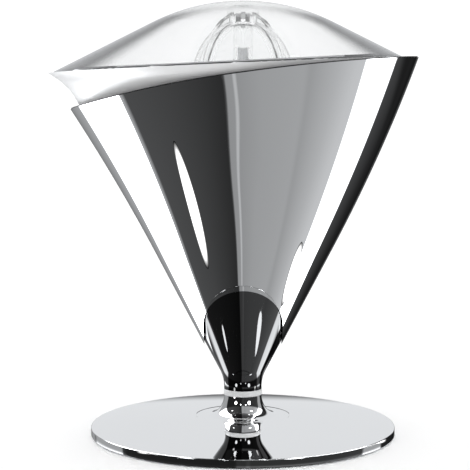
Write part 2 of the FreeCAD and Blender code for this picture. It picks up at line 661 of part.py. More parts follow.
def rod(radius, low, high):
    return Part.makeCylinder(radius, high - low, Vector(0, 0, low))


def wheel(stage, tooth_at):
    """The large gear of a stage: its profile shift is taken off, where its pinion's is put on."""
    teeth = int(size("wheel_teeth"))
    return gear_blank(teeth, size(f"{stage}_module"), -size("tooth_shift"), tooth_at + 180 / teeth,
                      size(f"{stage}_level"), size(f"{stage}_face"))


def pinion(stage, tooth_at, low, high):
    return gear_blank(int(size("pinion_teeth")), size(f"{stage}_module"), size("tooth_shift"), tooth_at,
                      low, high - low)


def gear_feature(label, shape, x="0", y="0"):
    item = doc.addObject("Part::Feature", label)
    item.Shape = shape
    place(item, x, y)
    return keep(item, label)


hub_low = size(deck_top) + size("fit_gap")
hub_high = size("case_top") - size("fit_gap")
first_top = size("first_level + first_face")
second_top = size("second_level + second_face")
third_top = size("third_level + third_face")
bore = size("pin_radius + running_gap")
arm_turn, motor_turn = size("arm_turn"), size("motor_turn")

near_gear = wheel("first", motor_turn).fuse([
    pinion("second", arm_turn + 180, first_top, second_top + size("end_play")),
    rod(size("idler_hub"), hub_low, size("first_level")),
    rod(size("idler_hub"), second_top + size("end_play"), hub_high)])
near_gear = near_gear.cut(rod(bore, hub_low, hub_high))
gear_feature("idler_gear_a", near_gear, near_x, near_y)

far_gear = wheel("second", arm_turn).fuse([
    pinion("third", 180, second_top, third_top + size("fit_gap")),
    rod(size("idler_hub"), hub_low, size("second_level")),
    rod(size("idler_hub"), third_top + size("fit_gap"), hub_high)])
far_gear = far_gear.cut(rod(bore, hub_low, hub_high))
gear_feature("idler_gear_b", far_gear, far_x, far_y)

output = wheel("third", 0).fuse(rod(size("output_hub"), size("collar_level + collar_thick"), hub_high))
output = output.cut(rod(size("shaft_radius"), hub_low, hub_high))
gear_feature("output_gear", output)

motor_gear = pinion("first", motor_turn + 180, size("first_level - fit_gap"), first_top + size("fit_gap"))
motor_gear = motor_gear.cut(rod(size("motor_shaft"), hub_low, hub_high))
gear_feature("motor_pinion", motor_gear, motor_x, motor_y)

cylinders("idler_pins", [(far_x, far_y), (near_x, near_y)], "deck_height + fit_gap", "pin_radius",
          "case_top + case_wall - deck_height - fit_gap")

# ---- gear case -------------------------------------------------------------------------------------

case = new_body("gear_case")
case_plan = draw_circle(new_sketch(case, "case_plan", "XY_Plane", deck_top), "case_radius + case_wall")
raise_pad(case, "case_block", case_plan, f"case_top + case_wall - ({deck_top})")
ear_features = []
for label in ("ear", "ear_web"):
    ear_plan = new_sketch(case, label + "_plan", "XY_Plane", deck_top)
    ear_plan.setExpression("AttachmentOffset.Rotation.Angle", bind("ear_turn * 1 deg"))
    if label == "ear":
        draw_circle(ear_plan, "ear_radius", "ear_circle")
    else:
        draw_box(ear_plan, "case_radius", "-ear_radius", "ear_circle - case_radius", "2 * ear_radius")
    ear_features.append(raise_pad(case, label, ear_plan, "ear_height"))
repeat_round(case, "ears", ear_features, "4")
boss_plan = draw_circle(new_sketch(case, "boss_plan", "XY_Plane", "case_top"), "upper_boss", "-case_side",
                        "-case_depth")
raise_pad(case, "boss_pad", boss_plan, "case_wall + boss_rise")
doc.recompute()
drill(case, "case_hollow", "case_top", f"case_top - ({deck_top})", [("case_radius", "0", "0")])
drill(case, "case_holes", "case_top + case_wall + boss_rise", "case_wall + boss_rise", [
    ("upper_bush_radius", "-case_side", "-case_depth"),
    ("pin_radius", f"{far_x} - case_side", "-case_depth"),
    ("pin_radius", f"{near_x} - case_side", f"{near_y} - case_depth")])
drill(case, "ear_holes", f"{deck_top} + ear_height", "ear_height", [("small_screw", x, y) for x, y in ear_spots])
keep(place(case, "case_side", "case_depth"), "gear_case")
screws("case_screws", ear_places, f"{deck_top} + ear_height", "small_screw", "ear_height + deck_thick",
       "small_head", "small_head_height", up=False)

# ---- drive shaft, bushes, collar, spring -----------------------------------------------------------

keep(tube("lower_bush", "lower_bush_radius", "shaft_radius + running_gap", "deck_height + fit_gap",
          "lower_bush_length"), "lower_bush")
keep(tube("upper_bush", "upper_bush_radius", "shaft_radius + running_gap", "case_top", "upper_bush_length"),
     "upper_bush")
keep(tube("thrust_collar", "collar_radius", "shaft_radius + running_gap", "collar_level", "collar_thick"),
     "thrust_collar")

shaft = new_body("drive_shaft")
shaft_plan = draw_circle(new_sketch(shaft, "shaft_plan", "XY_Plane", deck_top), "shaft_radius")
raise_pad(shaft, "shaft_bar", shaft_plan, f"shaft_top - ({deck_top})")
flat = new_sketch(shaft, "flat_plan", "XY_Plane", "shaft_top")
draw_box(flat, "-shaft_radius", "shaft_flat", "2 * shaft_radius", "shaft_radius - shaft_flat")
raise_pad(shaft, "flat_cut", flat, "shaft_top - flat_level", cut=True)
keep(shaft, "drive_shaft")

spring_low = size(deck_top) + size("spring_wire")
spring_rise = size("collar_level") - size("spring_wire") - spring_low
helix = Part.makeHelix(spring_rise / size("spring_turns"), spring_rise, size("spring_radius"))
wire_end = Part.Wire(Part.makeCircle(size("spring_wire"), Vector(size("spring_radius"), 0, 0), Vector(0, 1, 0)))
coil = Part.Wire(helix.Edges).makePipeShell([wire_end], True, True)
spring = doc.addObject("Part::Feature", "return_spring")
spring.Shape = coil
spring.Placement = FreeCAD.Placement(Vector(0, 0, spring_low), Rotation())
keep(spring, "return_spring")

# ---- switch ----------------------------------------------------------------------------------------

switch_top = f"{deck_top} + switch_height"
switch = new_body("switch_body")
switch_plan = new_sketch(switch, "switch_plan", "XY_Plane", deck_top)
draw_box(switch_plan, "-switch_left", "-switch_width / 2", "switch_length", "switch_width")
raise_pad(switch, "switch_block", switch_plan, "switch_height")
cheeks = new_sketch(switch, "cheek_plan", "XY_Plane", switch_top)
for low in ("-switch_width / 2", "switch_width / 2 - cheek_thick"):
    draw_box(cheeks, "-lever_side - cheek_width / 2", low, "cheek_width", "cheek_thick")
raise_pad(switch, "cheeks", cheeks, "cheek_rise")
button_plan = draw_circle(new_sketch(switch, "button_plan", "XY_Plane", switch_top), "button_radius",
                          "-button_side")
raise_pad(switch, "button", button_plan, "button_rise")
doc.recompute()
cut_through(switch, "pin_hole",
            draw_circle(new_sketch(switch, "pin_hole_plan"), "lever_pin", "-lever_side", "lever_level"))
keep(switch, "switch_body")

lever_pin = new_body("lever_pin")
raise_pad(lever_pin, "lever_pin_pad",
          draw_circle(new_sketch(lever_pin, "lever_pin_plan"), "lever_pin", "-lever_side", "lever_level"),
          "switch_width", both=True)
keep(lever_pin, "lever_pin")

lever = new_body("switch_lever")
arm = new_sketch(lever, "lever_arm_plan")
bump_top = "collar_level - fit_gap"
draw_outline(arm, [
    ("-lever_side", "lever_level - lever_thick / 2"), ("-lever_reach", "lever_level - lever_thick / 2"),
    ("-lever_reach", bump_top), ("-lever_reach - lever_bump", "lever_level + lever_thick / 2"),
    ("-lever_side", "lever_level + lever_thick / 2")])
raise_pad(lever, "lever_arm", arm, "lever_width", both=True)
raise_pad(lever, "lever_eye_pad",
          draw_circle(new_sketch(lever, "lever_eye_plan"), "lever_eye", "-lever_side", "lever_level"),
          "lever_width", both=True)
doc.recompute()
eye_hole = new_sketch(lever, "eye_hole_plan")
cut_through(lever, "eye_hole", draw_circle(eye_hole, "lever_pin + running_gap", "-lever_side", "lever_level"))
keep(lever, "switch_lever")

# ---- bowl ------------------------------------------------------------------------------------------

RINGS = ["heel", "low", "waist", "flare", "throat", "spout", "pour", "brim"]


def bowl_sections(grow, bottom):
    """The bowl's level circles from the bottom height up, each made larger by grow."""
    base_radius = f"{cone_radius('bowl_floor')} - base_gap + ({grow})"
    sections = [(bottom, base_radius, f"{cone_centre('bowl_floor')} + base_shift")]
    for ring in RINGS:
        level = f"bowl_floor + {ring}_rise"
        sections.append((level, f"{cone_radius(level)} - {ring}_gap + ({grow})",
                         f"{cone_centre(level)} + {ring}_shift"))
    return sections


def plain_loft(name, sections):
    """A solid through level circles, for the Part workbench's booleans."""
    rings = []
    for index, (level, radius, x) in enumerate(sections):
        ring = doc.addObject("Part::Circle", f"{name}_{index}")
        ring.setExpression("Radius", bind(radius))
        rings.append(place(ring, x, "0", level))
    solid = doc.addObject("Part::Loft", name)
    solid.Sections = rings
    solid.Solid = True
    return solid


def plain_cylinder(name, radius, level, height, x="0", y="0"):
    item = doc.addObject("Part::Cylinder", name)
    item.setExpression("Radius", bind(radius))
    item.setExpression("Height", bind(height))
    return place(item, x, y, level)


def join(name, items):
    whole = doc.addObject("Part::MultiFuse", name)
    whole.Shapes = items
    return whole


def take(name, base, tool, kind="Part::Cut"):
    result = doc.addObject(kind, name)
    result.Base, result.Tool = base, tool
    return result


# The plane of the bowl's rim falls towards the lip: height bowl_rim above the axis.
bowl_reach = (f"({cone_radius('bowl_floor + spout_rise')} - spout_gap - {cone_centre('bowl_floor + spout_rise')}"
              " - spout_shift)")


def rim_block(name, drop="0", below=False):
    """A half-space block bounded by the tilted rim plane, lowered by drop along its normal."""
    block = doc.addObject("Part::Box", name)
    for prop, text in (("Length", "2 * clear_reach"), ("Width", "2 * clear_reach"), ("Height", "clear_reach")):
        block.setExpression(prop, bind(text))
    lift = f"-clear_reach - ({drop})" if below else f"-({drop})"
    # the block's corner, carried round by the tilt
    block.Placement = FreeCAD.Placement(Vector(0, 0, 0), Rotation(Vector(0, -1, 0), size("bowl_tilt")))
    block.setExpression("Placement.Rotation.Angle", bind("bowl_tilt * 1 deg"))
    place(block, f"-clear_reach * cos(bowl_tilt) - ({lift}) * sin(bowl_tilt)", "-clear_reach",
          f"bowl_rim - clear_reach * sin(bowl_tilt) + ({lift}) * cos(bowl_tilt)")
    return block


lid_reach = f"({bowl_reach} - lid_margin)"
slope_base = f"(bowl_rim - {lid_reach} * tan(bowl_tilt) + {lid_reach} * tan(lid_slope))"
lid_right = f"(({slope_base} - bowl_rim) / (tan(lid_slope) + tan(bowl_tilt)))"
mouth_centre = f"(({lid_right} - {lid_reach}) / 2)"
mouth_radius = f"(({lid_right} + {lid_reach}) / 2 - lid_seat)"

bowl_blank = take("bowl_blank", plain_loft("bowl_outside", bowl_sections("0", "bowl_floor")),
                  rim_block("above_rim"))
bowl_room = take("bowl_room", plain_loft("bowl_inside", bowl_sections("-bowl_sheet", "bowl_floor + bowl_sheet")),
                 rim_block("under_lip", "bowl_lip", below=True), "Part::Common")
mouth = plain_cylinder("mouth", mouth_radius, "bowl_floor + throat_rise", "2 * throat_rise", mouth_centre)
floor_hole = plain_cylinder("floor_hole", "chimney_radius - bowl_sheet", "bowl_floor", "bowl_sheet")
bowl_wall = take("bowl_wall", bowl_blank, join("bowl_hollow", [bowl_room, mouth, floor_hole]))
chimney = new_body("chimney")
revolve(chimney, "chimney_drawing", [
    ("chimney_radius - bowl_sheet", "bowl_floor"), ("chimney_radius", "bowl_floor"),
    ("chimney_radius", "chimney_step"), ("chimney_neck", "chimney_step"), ("chimney_neck", "chimney_top"),
    ("chimney_neck - bowl_sheet", "chimney_top"), ("chimney_neck - bowl_sheet", "chimney_step - bowl_sheet"),
    ("chimney_radius - bowl_sheet", "chimney_step - bowl_sheet")])
keep(join("juice_bowl", [bowl_wall, chimney]), "juice_bowl")

# ---- cradle between bowl and shell -----------------------------------------------------------------

floor_top = "cradle_floor + cradle_plate"
cradle_floor = plain_loft("cradle_plate", cone_sections(["cradle_floor", floor_top], "shell_sheet + skin_gap"))
wall_block = plain_loft("cradle_wall_block", bowl_sections("cradle_gap + cradle_wall", "cradle_floor"))


def rim_band(name, top_drop, bottom_drop):
    """What lies between the rim line lowered by one drop and by another."""
    solids = []
    for part_name, drop in ((name + "_over", top_drop), (name + "_under", bottom_drop)):
        body = new_body(part_name)
        raise_pad(body, part_name + "_pad", draw_rim(new_sketch(body, part_name + "_line"), drop),
                  "2 * clear_reach", both=True)
        solids.append(body)
    return solids


above_cradle, above_flange = rim_band("cradle_rim", "flange_drop", "flange_drop + flange_thick")
skin_levels = ["bowl_floor", "rim_low", "rim_high + flange_thick"]
skin_block = plain_loft("skin_block", cone_sections(skin_levels, "shell_sheet + skin_gap"))
flange_block = take("flange_block", skin_block, above_flange, "Part::Common")
cradle_block = join("cradle_block", [cradle_floor, wall_block, flange_block])
collar_outer = "(seal_radius + collar_wall)"
collar = plain_cylinder("cradle_collar", collar_outer, "cradle_floor", "cradle_plate + collar_up")
seal_hole = plain_cylinder("seal_hole", "seal_radius", "cradle_floor", "cradle_plate + collar_up")
post_holes = [plain_cylinder("post_hole", "small_screw", "cradle_floor", "cradle_plate", x, y)
              for x, y in post_spots]
head_seat = f"{floor_top} - small_head_height - layer_gap"
head_holes = [plain_cylinder("head_hole", "small_head + fit_gap", head_seat, "small_head_height + layer_gap",
                             x, y) for x, y in post_spots]
cradle_room = plain_loft("cradle_room", bowl_sections("cradle_gap", floor_top))
cradle_shell = take("cradle_shell", cradle_block, join("cradle_hollow", [cradle_room, above_cradle]))
cradle = take("bowl_cradle", join("cradle_with_collar", [cradle_shell, collar]),
              join("cradle_holes", [seal_hole] + post_holes + head_holes))
keep(cradle, "bowl_cradle")

seal = new_body("shaft_seal")
seal_low = "cradle_floor"
revolve(seal, "seal_moulding", [
    ("seal_radius", seal_low), ("seal_radius", f"{seal_low} + seal_length"),
    ("shaft_radius + running_gap", f"{seal_low} + seal_length"),
    ("shaft_radius + running_gap", f"{seal_low} + seal_length * 3 / 4"),
    ("(shaft_radius + seal_radius) / 2", f"{seal_low} + seal_length / 2"),
    ("(shaft_radius + seal_radius) / 2", seal_low)])
keep(seal, "shaft_seal")

posts = doc.addObject("Part::Compound", "standoffs")
post_length = f"cradle_floor - ({deck_top})"
posts.Links = [tube(f"standoff_{index}", "post_radius", "small_screw", deck_top, post_length, x, y)
               for index, (x, y) in enumerate(post_spots)]
keep(posts, "standoffs")
screws("cradle_screws", post_spots, head_seat, "small_screw", "post_screw_length", "small_head",
       "small_head_height", up=False)
screws("deck_screws", post_spots, "deck_height", "small_screw", "post_screw_length", "small_head",
       "small_head_height")

# ---- strainer --------------------------------------------------------------------------------------

strainer = new_body("strainer")
revolve(strainer, "strainer_moulding", [
    ("chimney_neck + fit_gap", "chimney_step + fit_gap"), ("strainer_hub", "chimney_step + fit_gap"),
    ("strainer_hub", "strainer_floor"), ("strainer_radius", "strainer_floor"),
    ("strainer_radius", "strainer_top"),
    ("strainer_radius - strainer_sheet", "strainer_top"),
    ("strainer_radius - strainer_sheet", "strainer_floor + strainer_sheet"),
    ("strainer_hub", "strainer_floor + strainer_sheet"),
    ("chimney_neck + fit_gap", "strainer_floor + 2 * strainer_sheet")])
slit = new_sketch(strainer, "slit_plan", "XY_Plane", "strainer_floor + strainer_sheet")
draw_box(slit, "slot_inner", "-strainer_slot / 2", "slot_outer - slot_inner", "strainer_slot")
slit_cut = raise_pad(strainer, "slit", slit, "strainer_sheet", cut=True)
repeat_round(strainer, "slits", [slit_cut], "strainer_slots")
keep(strainer, "strainer")

# ---- reamer ----------------------------------------------------------------------------------------

brow = "reamer_base + skirt_thick"
knee_z = "bell_top - bell_crown_round + sqrt(bell_crown_round ^ 2 - bell_knee ^ 2)"
crown_foot = "bell_top - bell_crown_round + sqrt(bell_crown_round ^ 2 - crown_radius ^ 2)"
inner_knee = "bell_knee * (1 - bell_wall / bell_crown_round)"
inner_round = "(bell_crown_round - bell_wall)"
inner_knee_z = f"bell_top - bell_crown_round + sqrt({inner_round} ^ 2 - ({inner_knee}) ^ 2)"
hub_roof = f"bell_top - bell_crown_round + sqrt({inner_round} ^ 2 - reamer_hub ^ 2)"
reamer = new_body("reamer")
revolve(reamer, "bell", [
    ("0", "reamer_base"), ("skirt_radius", "reamer_base"), ("skirt_radius", brow), ("bell_radius", brow),
    ("bell_knee", knee_z), ("crown_radius", crown_foot), ("crown_radius", "crown_top"), ("0", "crown_top")],
    {3: "-bell_side_round", 4: "-bell_crown_round"})
fin_plan = new_sketch(reamer, "fin_outline")
draw_outline(fin_plan, [
    ("0", "reamer_base"), ("fin_radius", "reamer_base"), ("fin_radius", brow),
    ("fin_shoulder", "fin_top - fin_shoulder_drop"), ("fin_tip", "fin_top"), ("0", "fin_top")],
    {2: "-fin_round"})
fin = raise_pad(reamer, "fin", fin_plan, "fin_thick", both=True)
repeat_round(reamer, "fins", [fin], "fin_count")
doc.recompute()
revolve(reamer, "bell_hollow", [
    ("reamer_hub", "reamer_base"), ("bell_radius - bell_wall", "reamer_base"),
    ("bell_radius - bell_wall", brow),
    (inner_knee, inner_knee_z), ("reamer_hub", hub_roof)],
    {2: "-(bell_side_round - bell_wall)", 3: f"-{inner_round}"}, cut=True)
socket = new_sketch(reamer, "socket_plan", "XY_Plane", "shaft_top + socket_room")
half_flat = "sqrt((shaft_radius + running_gap) ^ 2 - (shaft_flat + running_gap) ^ 2)"
draw_outline(socket, [
    (half_flat, "shaft_flat + running_gap"), (f"-{half_flat}", "shaft_flat + running_gap"),
    ("0", "-shaft_radius - running_gap")],
    {1: "-(shaft_radius + running_gap)", 2: "-(shaft_radius + running_gap)"})
raise_pad(reamer, "socket", socket, "shaft_top + socket_room - reamer_base", cut=True)
keep(reamer, "reamer")

# ---- lid -------------------------------------------------------------------------------------------

lid_axis = f"({slope_base} - lid_round / cos(lid_slope))"
turn_r, turn_top = "lid_round * sin(lid_slope)", f"{lid_axis} + lid_round * cos(lid_slope)"
skirt = f"({lid_reach} + 4 * lid_wall)"
inner_r = "(lid_round - lid_wall) * sin(lid_slope)"
inner_top = f"{lid_axis} + (lid_round - lid_wall) * cos(lid_slope)"
inner_skirt = f"({skirt} - lid_wall * sin(lid_slope))"
lid = new_body("dome_lid")
revolve(lid, "dome", [
    ("0", f"{lid_axis} + lid_round - lid_wall"), (inner_r, inner_top),
    (inner_skirt, f"{slope_base} - {skirt} * tan(lid_slope) - lid_wall * cos(lid_slope)"),
    (skirt, f"{slope_base} - {skirt} * tan(lid_slope)"), (turn_r, turn_top),
    ("0", f"{lid_axis} + lid_round")],
    {0: "lid_round - lid_wall", 4: "-lid_round"})
below = new_sketch(lid, "below_rim")
draw_outline(below, [
    ("-clear_reach", "bowl_rim - clear_reach * tan(bowl_tilt)"),
    ("clear_reach", "bowl_rim + clear_reach * tan(bowl_tilt)"),
    ("clear_reach", "neck_height"), ("-clear_reach", "neck_height")])
cut_through(lid, "rim_seat", below)
lip = lid.newObject("Sketcher::SketchObject", "lid_lip_plan")
lip.AttachmentSupport = [([item for item in lid.Origin.OriginFeatures if item.Role == "XY_Plane"][0], "")]
lip.MapMode = "FlatFace"
tilted = Rotation(Vector(0, -1, 0), size("bowl_tilt"))
lip.AttachmentOffset = FreeCAD.Placement(Vector(0, 0, size("bowl_rim")), tilted)
lip.setExpression("AttachmentOffset.Base.z", bind("bowl_rim"))
lip.setExpression("AttachmentOffset.Rotation.Angle", bind("bowl_tilt * 1 deg"))
draw_circle(lip, f"{mouth_radius} - fit_gap", f"{mouth_centre} / cos(bowl_tilt)")
draw_circle(lip, f"{mouth_radius} - fit_gap - lid_lip", f"{mouth_centre} / cos(bowl_tilt)")
lip_pad = lid.newObject("PartDesign::Pad", "lid_lip_pad")
lip_pad.Profile = lip
lip_pad.SideType = "Two sides"
lip_pad.setExpression("Length", bind("lid_wall / 2"))
lip_pad.setExpression("Length2", bind("lid_lip_depth"))
keep(lid, "dome_lid")

# ---- check and write -------------------------------------------------------------------------------

doc.recompute()
for item in doc.Objects:
    if "Invalid" in item.State or "Error" in item.State:
        raise RuntimeError(f"{item.Name} failed: {item.State}")
for item in nodes:
    if item.Shape.isNull() or not item.Shape.isValid():
        raise RuntimeError(f"{item.Label} has no valid shape")

os.makedirs("parts", exist_ok=True)
for item in nodes:
    item.Shape.exportStep(f"parts/{item.Label}.step")
print(len(nodes), "sub-parts written")
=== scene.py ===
import json
import math

import bpy
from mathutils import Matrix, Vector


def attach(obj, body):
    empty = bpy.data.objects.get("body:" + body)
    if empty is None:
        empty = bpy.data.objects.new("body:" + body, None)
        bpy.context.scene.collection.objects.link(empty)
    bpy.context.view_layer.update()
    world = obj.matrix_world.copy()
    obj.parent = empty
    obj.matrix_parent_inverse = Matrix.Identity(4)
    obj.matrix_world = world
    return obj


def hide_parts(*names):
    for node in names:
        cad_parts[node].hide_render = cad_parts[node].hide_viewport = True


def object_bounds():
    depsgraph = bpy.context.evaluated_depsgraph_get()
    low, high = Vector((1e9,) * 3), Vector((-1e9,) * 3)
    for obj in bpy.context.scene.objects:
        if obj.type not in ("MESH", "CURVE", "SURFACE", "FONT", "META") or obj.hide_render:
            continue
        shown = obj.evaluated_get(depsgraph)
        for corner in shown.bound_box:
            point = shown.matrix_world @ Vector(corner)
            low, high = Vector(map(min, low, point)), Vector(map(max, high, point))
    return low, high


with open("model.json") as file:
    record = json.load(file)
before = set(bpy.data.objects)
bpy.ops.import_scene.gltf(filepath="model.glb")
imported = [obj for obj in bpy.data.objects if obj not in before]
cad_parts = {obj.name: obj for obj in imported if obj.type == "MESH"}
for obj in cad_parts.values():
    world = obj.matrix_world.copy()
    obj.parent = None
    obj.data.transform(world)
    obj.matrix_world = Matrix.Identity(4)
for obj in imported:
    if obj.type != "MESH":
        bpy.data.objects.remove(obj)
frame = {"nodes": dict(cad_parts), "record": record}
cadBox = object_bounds()
scene = bpy.context.scene
scene.view_settings.view_transform = "Standard"
mm = 0.001
tiny = 0.001  # the least radius of a ring, in millimetres
samePoint = 0.02  # points this near, in millimetres, are one


# Shader helpers: a Signal is one socket, and sums written with it become Math nodes.

class Signal:
    def __init__(self, tree, socket):
        self.tree = tree
        self.socket = socket

    def __add__(self, other):
        return self.tree.maths("ADD", self, other)

    def __sub__(self, other):
        return self.tree.maths("SUBTRACT", self, other)

    def __rsub__(self, other):
        return self.tree.maths("SUBTRACT", other, self)

    def __mul__(self, other):
        return self.tree.maths("MULTIPLY", self, other)

    def __truediv__(self, other):
        return self.tree.maths("DIVIDE", self, other)

    __radd__ = __add__
    __rmul__ = __mul__


class ShaderTree:
    def __init__(self, nodeTree):
        self.nodeTree = nodeTree
        nodeTree.nodes.clear()

    def node(self, kind, settings=None, sockets=None, output=0):
        made = self.nodeTree.nodes.new(kind)
        for name, value in (settings or {}).items():
            if name == "stops":
                fillRamp(made.color_ramp, value)
            else:
                setattr(made, name, value)
        for name, value in (sockets or {}).items():
            if isinstance(value, Signal):
                self.nodeTree.links.new(value.socket, made.inputs[name])
            else:
                made.inputs[name].default_value = value
        return Signal(self, made.outputs[output]) if made.outputs else made

    def maths(self, operation, first, second):
        return self.node("ShaderNodeMath", {"operation": operation}, {0: first, 1: second})

    def between(self, value, low, high, fromValue=0.0, toValue=1.0):
        settings = {"interpolation_type": "SMOOTHSTEP"}
        sockets = {0: value, 1: low, 2: high, 3: fromValue, 4: toValue}
        return self.node("ShaderNodeMapRange", settings, sockets)

    def split(self, vector):
        made = self.nodeTree.nodes.new("ShaderNodeSeparateXYZ")
        self.nodeTree.links.new(vector.socket, made.inputs[0])
        return [Signal(self, socket) for socket in made.outputs]

    def noise(self, scale, detail=3.0, stretch=(1, 1, 1)):
        place = self.node("ShaderNodeTexCoord", output="Object")
        turned = self.node("ShaderNodeMapping", {}, {"Vector": place, "Scale": stretch})
        sockets = {"Vector": turned, "Scale": scale, "Detail": detail}
        return self.node("ShaderNodeTexNoise", {}, sockets)

    def mixColour(self, factor, first, second):
        settings = {"data_type": "RGBA"}
        return self.node("ShaderNodeMix", settings, {0: factor, 6: first, 7: second}, output=2)

    def bump(self, height, strength, distance):
        sockets = {"Height": height, "Strength": strength, "Distance": distance}
        return self.node("ShaderNodeBump", {}, sockets)


def fillRamp(ramp, stops):
    ramp.interpolation = "LINEAR"
    while len(ramp.elements) < len(stops):
        ramp.elements.new(1.0)
    for element, (place, value) in zip(ramp.elements, stops):
        element.position = place
        element.color = grey(value)


def grey(value):
    return (value, value, value, 1)


def newMaterial(name):
    material = bpy.data.materials.new(name)
    material.use_nodes = True
    return material, ShaderTree(material.node_tree)


def finishMaterial(tree, sockets):
    surface = tree.node("ShaderNodeBsdfPrincipled", {}, sockets)
    tree.node("ShaderNodeOutputMaterial", {}, {"Surface": surface})


# Camera and studio

camera = {"place": (-0.00596, -1.1905, 0.270), "tilt": 5.693, "lens": 121.8, "sensor": 36.0, "farthest": 50}


def addCamera():
    data = bpy.data.cameras.new("studioCamera")
    data.lens = camera["lens"]
    data.sensor_width = camera["sensor"]
    data.clip_end = camera["farthest"]
    holder = bpy.data.objects.new("studioCamera", data)
    holder.location = camera["place"]
    holder.rotation_euler = (math.radians(90 - camera["tilt"]), 0, 0)
    scene.collection.objects.link(holder)
    scene.camera = holder


studio = {
    "wallLight": 1.15,
    "floorRadius": 4.0,
    "floorDrop": 0.0002,
    "floorGrain": 3.0,
    "nadir": 0.85,
    "backAbove": 0.80,
    "frontAbove": 0.012,
    "wallSpill": 0.06,
    "tint": (0.955, 0.975, 1.0, 1),
    # brightness of the studio's walls by compass bearing, -180 behind to the left, 0 the front
    "walls": [(-180, 0.14), (-168, 0.22), (-146, 0.40), (-142, 6.0), (-101.5, 6.0),
              (-100.5, 0.40), (-97.5, 0.35), (-96.5, 0.075), (-60, 0.058), (-30, 0.042),
              (-5.8, 0.026), (-4.8, 0.30), (1.7, 0.31), (2.7, 0.50), (4.5, 0.50), (5.5, 0.31),
              (25, 0.36), (57, 0.39), (61, 0.35), (80, 0.47), (93, 0.58), (99, 0.60),
              (101, 6.0), (124, 6.0), (126, 0.06), (145, 0.02), (158, 0.008), (166, 0.10),
              (180, 0.14)],
    # white panels before the object: bearing, height, half width and half height in degrees
    "panels": [(-42, 12, 7, 7), (38, 12, 8, 8), (-13, 20, 2.5, 2.5), (17, 21, 2.5, 2.5)],
    "highPanels": [(56, 48.6, 9, 1.7), (-69, 46.2, 4, 1.2)],
    "panelGlow": 8.0,
    "panelEdge": (0.8, 1.1),
    # heights between which the walls turn, and how far they turn
    "lowTurn": (-59.5, -55.5, 6.2),
    "levelTurn": (-5, 5, 3.0),
    # heights, and for the front bearings, over which one part gives way to the next
    "downEdge": (-68.0, -64.0),
    "skirtingEdge": (-16.0, -12.0),
    "horizonEdge": (-2.0, 3.0),
    "highEdge": (23.0, 30.0),
    "frontEdge": (143.0, 153.0),
}


def addWorld():
    world = bpy.data.worlds.new("studio")
    scene.world = world
    world.use_nodes = True
    tree = ShaderTree(world.node_tree)
    degrees = 180 / math.pi
    heading = tree.node("ShaderNodeTexCoord", output="Generated")
    x, y, z = tree.split(heading)
    height = tree.node("ShaderNodeMath", {"operation": "ARCSINE"}, {0: z}) * degrees
    bearing = tree.maths("ARCTAN2", x, 0 - y) * degrees
    low, high, turn = studio["lowTurn"]
    turned = bearing + tree.between(height, low, high, turn, 0.0)
    low, high, turn = studio["levelTurn"]
    turned = tree.maths("MINIMUM", turned + tree.between(height, low, high, 0.0, turn), 180)
    stops = [((angle + 180) / 360, value) for angle, value in studio["walls"]]
    walls = tree.node("ShaderNodeValToRGB", {"stops": stops}, {0: (turned + 180) / 360})
    down = tree.between(height, *studio["downEdge"], 1.0, 0.0)
    below = tree.mixColour(down, walls, grey(studio["nadir"]))

    def panelLight(panels):
        total = 0
        for panelBearing, panelHeight, halfWidth, halfHeight in panels:
            aside = tree.maths("ABSOLUTE", bearing - panelBearing, 0) / halfWidth
            away = tree.maths("ABSOLUTE", height - panelHeight, 0) / halfHeight
            spot = aside * aside + away * away
            total = tree.between(spot, *studio["panelEdge"], studio["panelGlow"], 0.0) + total
        return total

    # before the object the room is dark, with white panels in it
    lowLight = panelLight(studio["panels"]) + studio["frontAbove"] + walls * studio["wallSpill"]
    channels = {name: lowLight for name in ("Red", "Green", "Blue")}
    lowFront = tree.node("ShaderNodeCombineColor", {}, channels)
    glare = tree.maths("MINIMUM", panelLight(studio["highPanels"]), 1.0)
    highFront = tree.mixColour(glare, walls, grey(studio["panelGlow"]))
    front = tree.mixColour(tree.between(height, *studio["highEdge"]), lowFront, highFront)
    toSide = tree.maths("ABSOLUTE", bearing, 0)
    toFront = tree.between(toSide, *studio["frontEdge"], 1.0, 0.0)
    above = tree.mixColour(toFront, grey(studio["backAbove"]), front)
    skirting = tree.between(height, *studio["skirtingEdge"]) * toFront
    horizon = tree.between(height, *studio["horizonEdge"])
    seen = tree.mixColour(horizon, tree.mixColour(skirting, below, lowFront), above)
    seen = tree.node("ShaderNodeMix", {"data_type": "RGBA", "blend_type": "MULTIPLY"},
                     {0: 1.0, 6: seen, 7: studio["tint"]}, output=2)
    # polished metal reflects the studio, and all else stands in plain white light
    glossy = tree.node("ShaderNodeLightPath", output="Is Glossy Ray")
    through = tree.node("ShaderNodeLightPath", output="Is Transmission Ray")
    colour = tree.mixColour(glossy * (1 - through), grey(studio["wallLight"]), seen)
    background = tree.node("ShaderNodeBackground", {}, {"Color": colour, "Strength": 1.0})
    tree.node("ShaderNodeOutputWorld", {}, {"Surface": background})


# Small lamps on the floor, seen only as spots in the metal
lampRise = -0.003
lampEdge = (0.55, 1.0)
lampSides = 64
lamps = {
    "leftLamp": {"centre": (-0.164, -0.132), "half": (0.061, 0.022), "turn": 38.8, "strength": 5.0},
    "rightLamp": {"centre": (0.165, -0.035), "half": (0.038, 0.021), "turn": -20.0, "strength": 5.0},
}


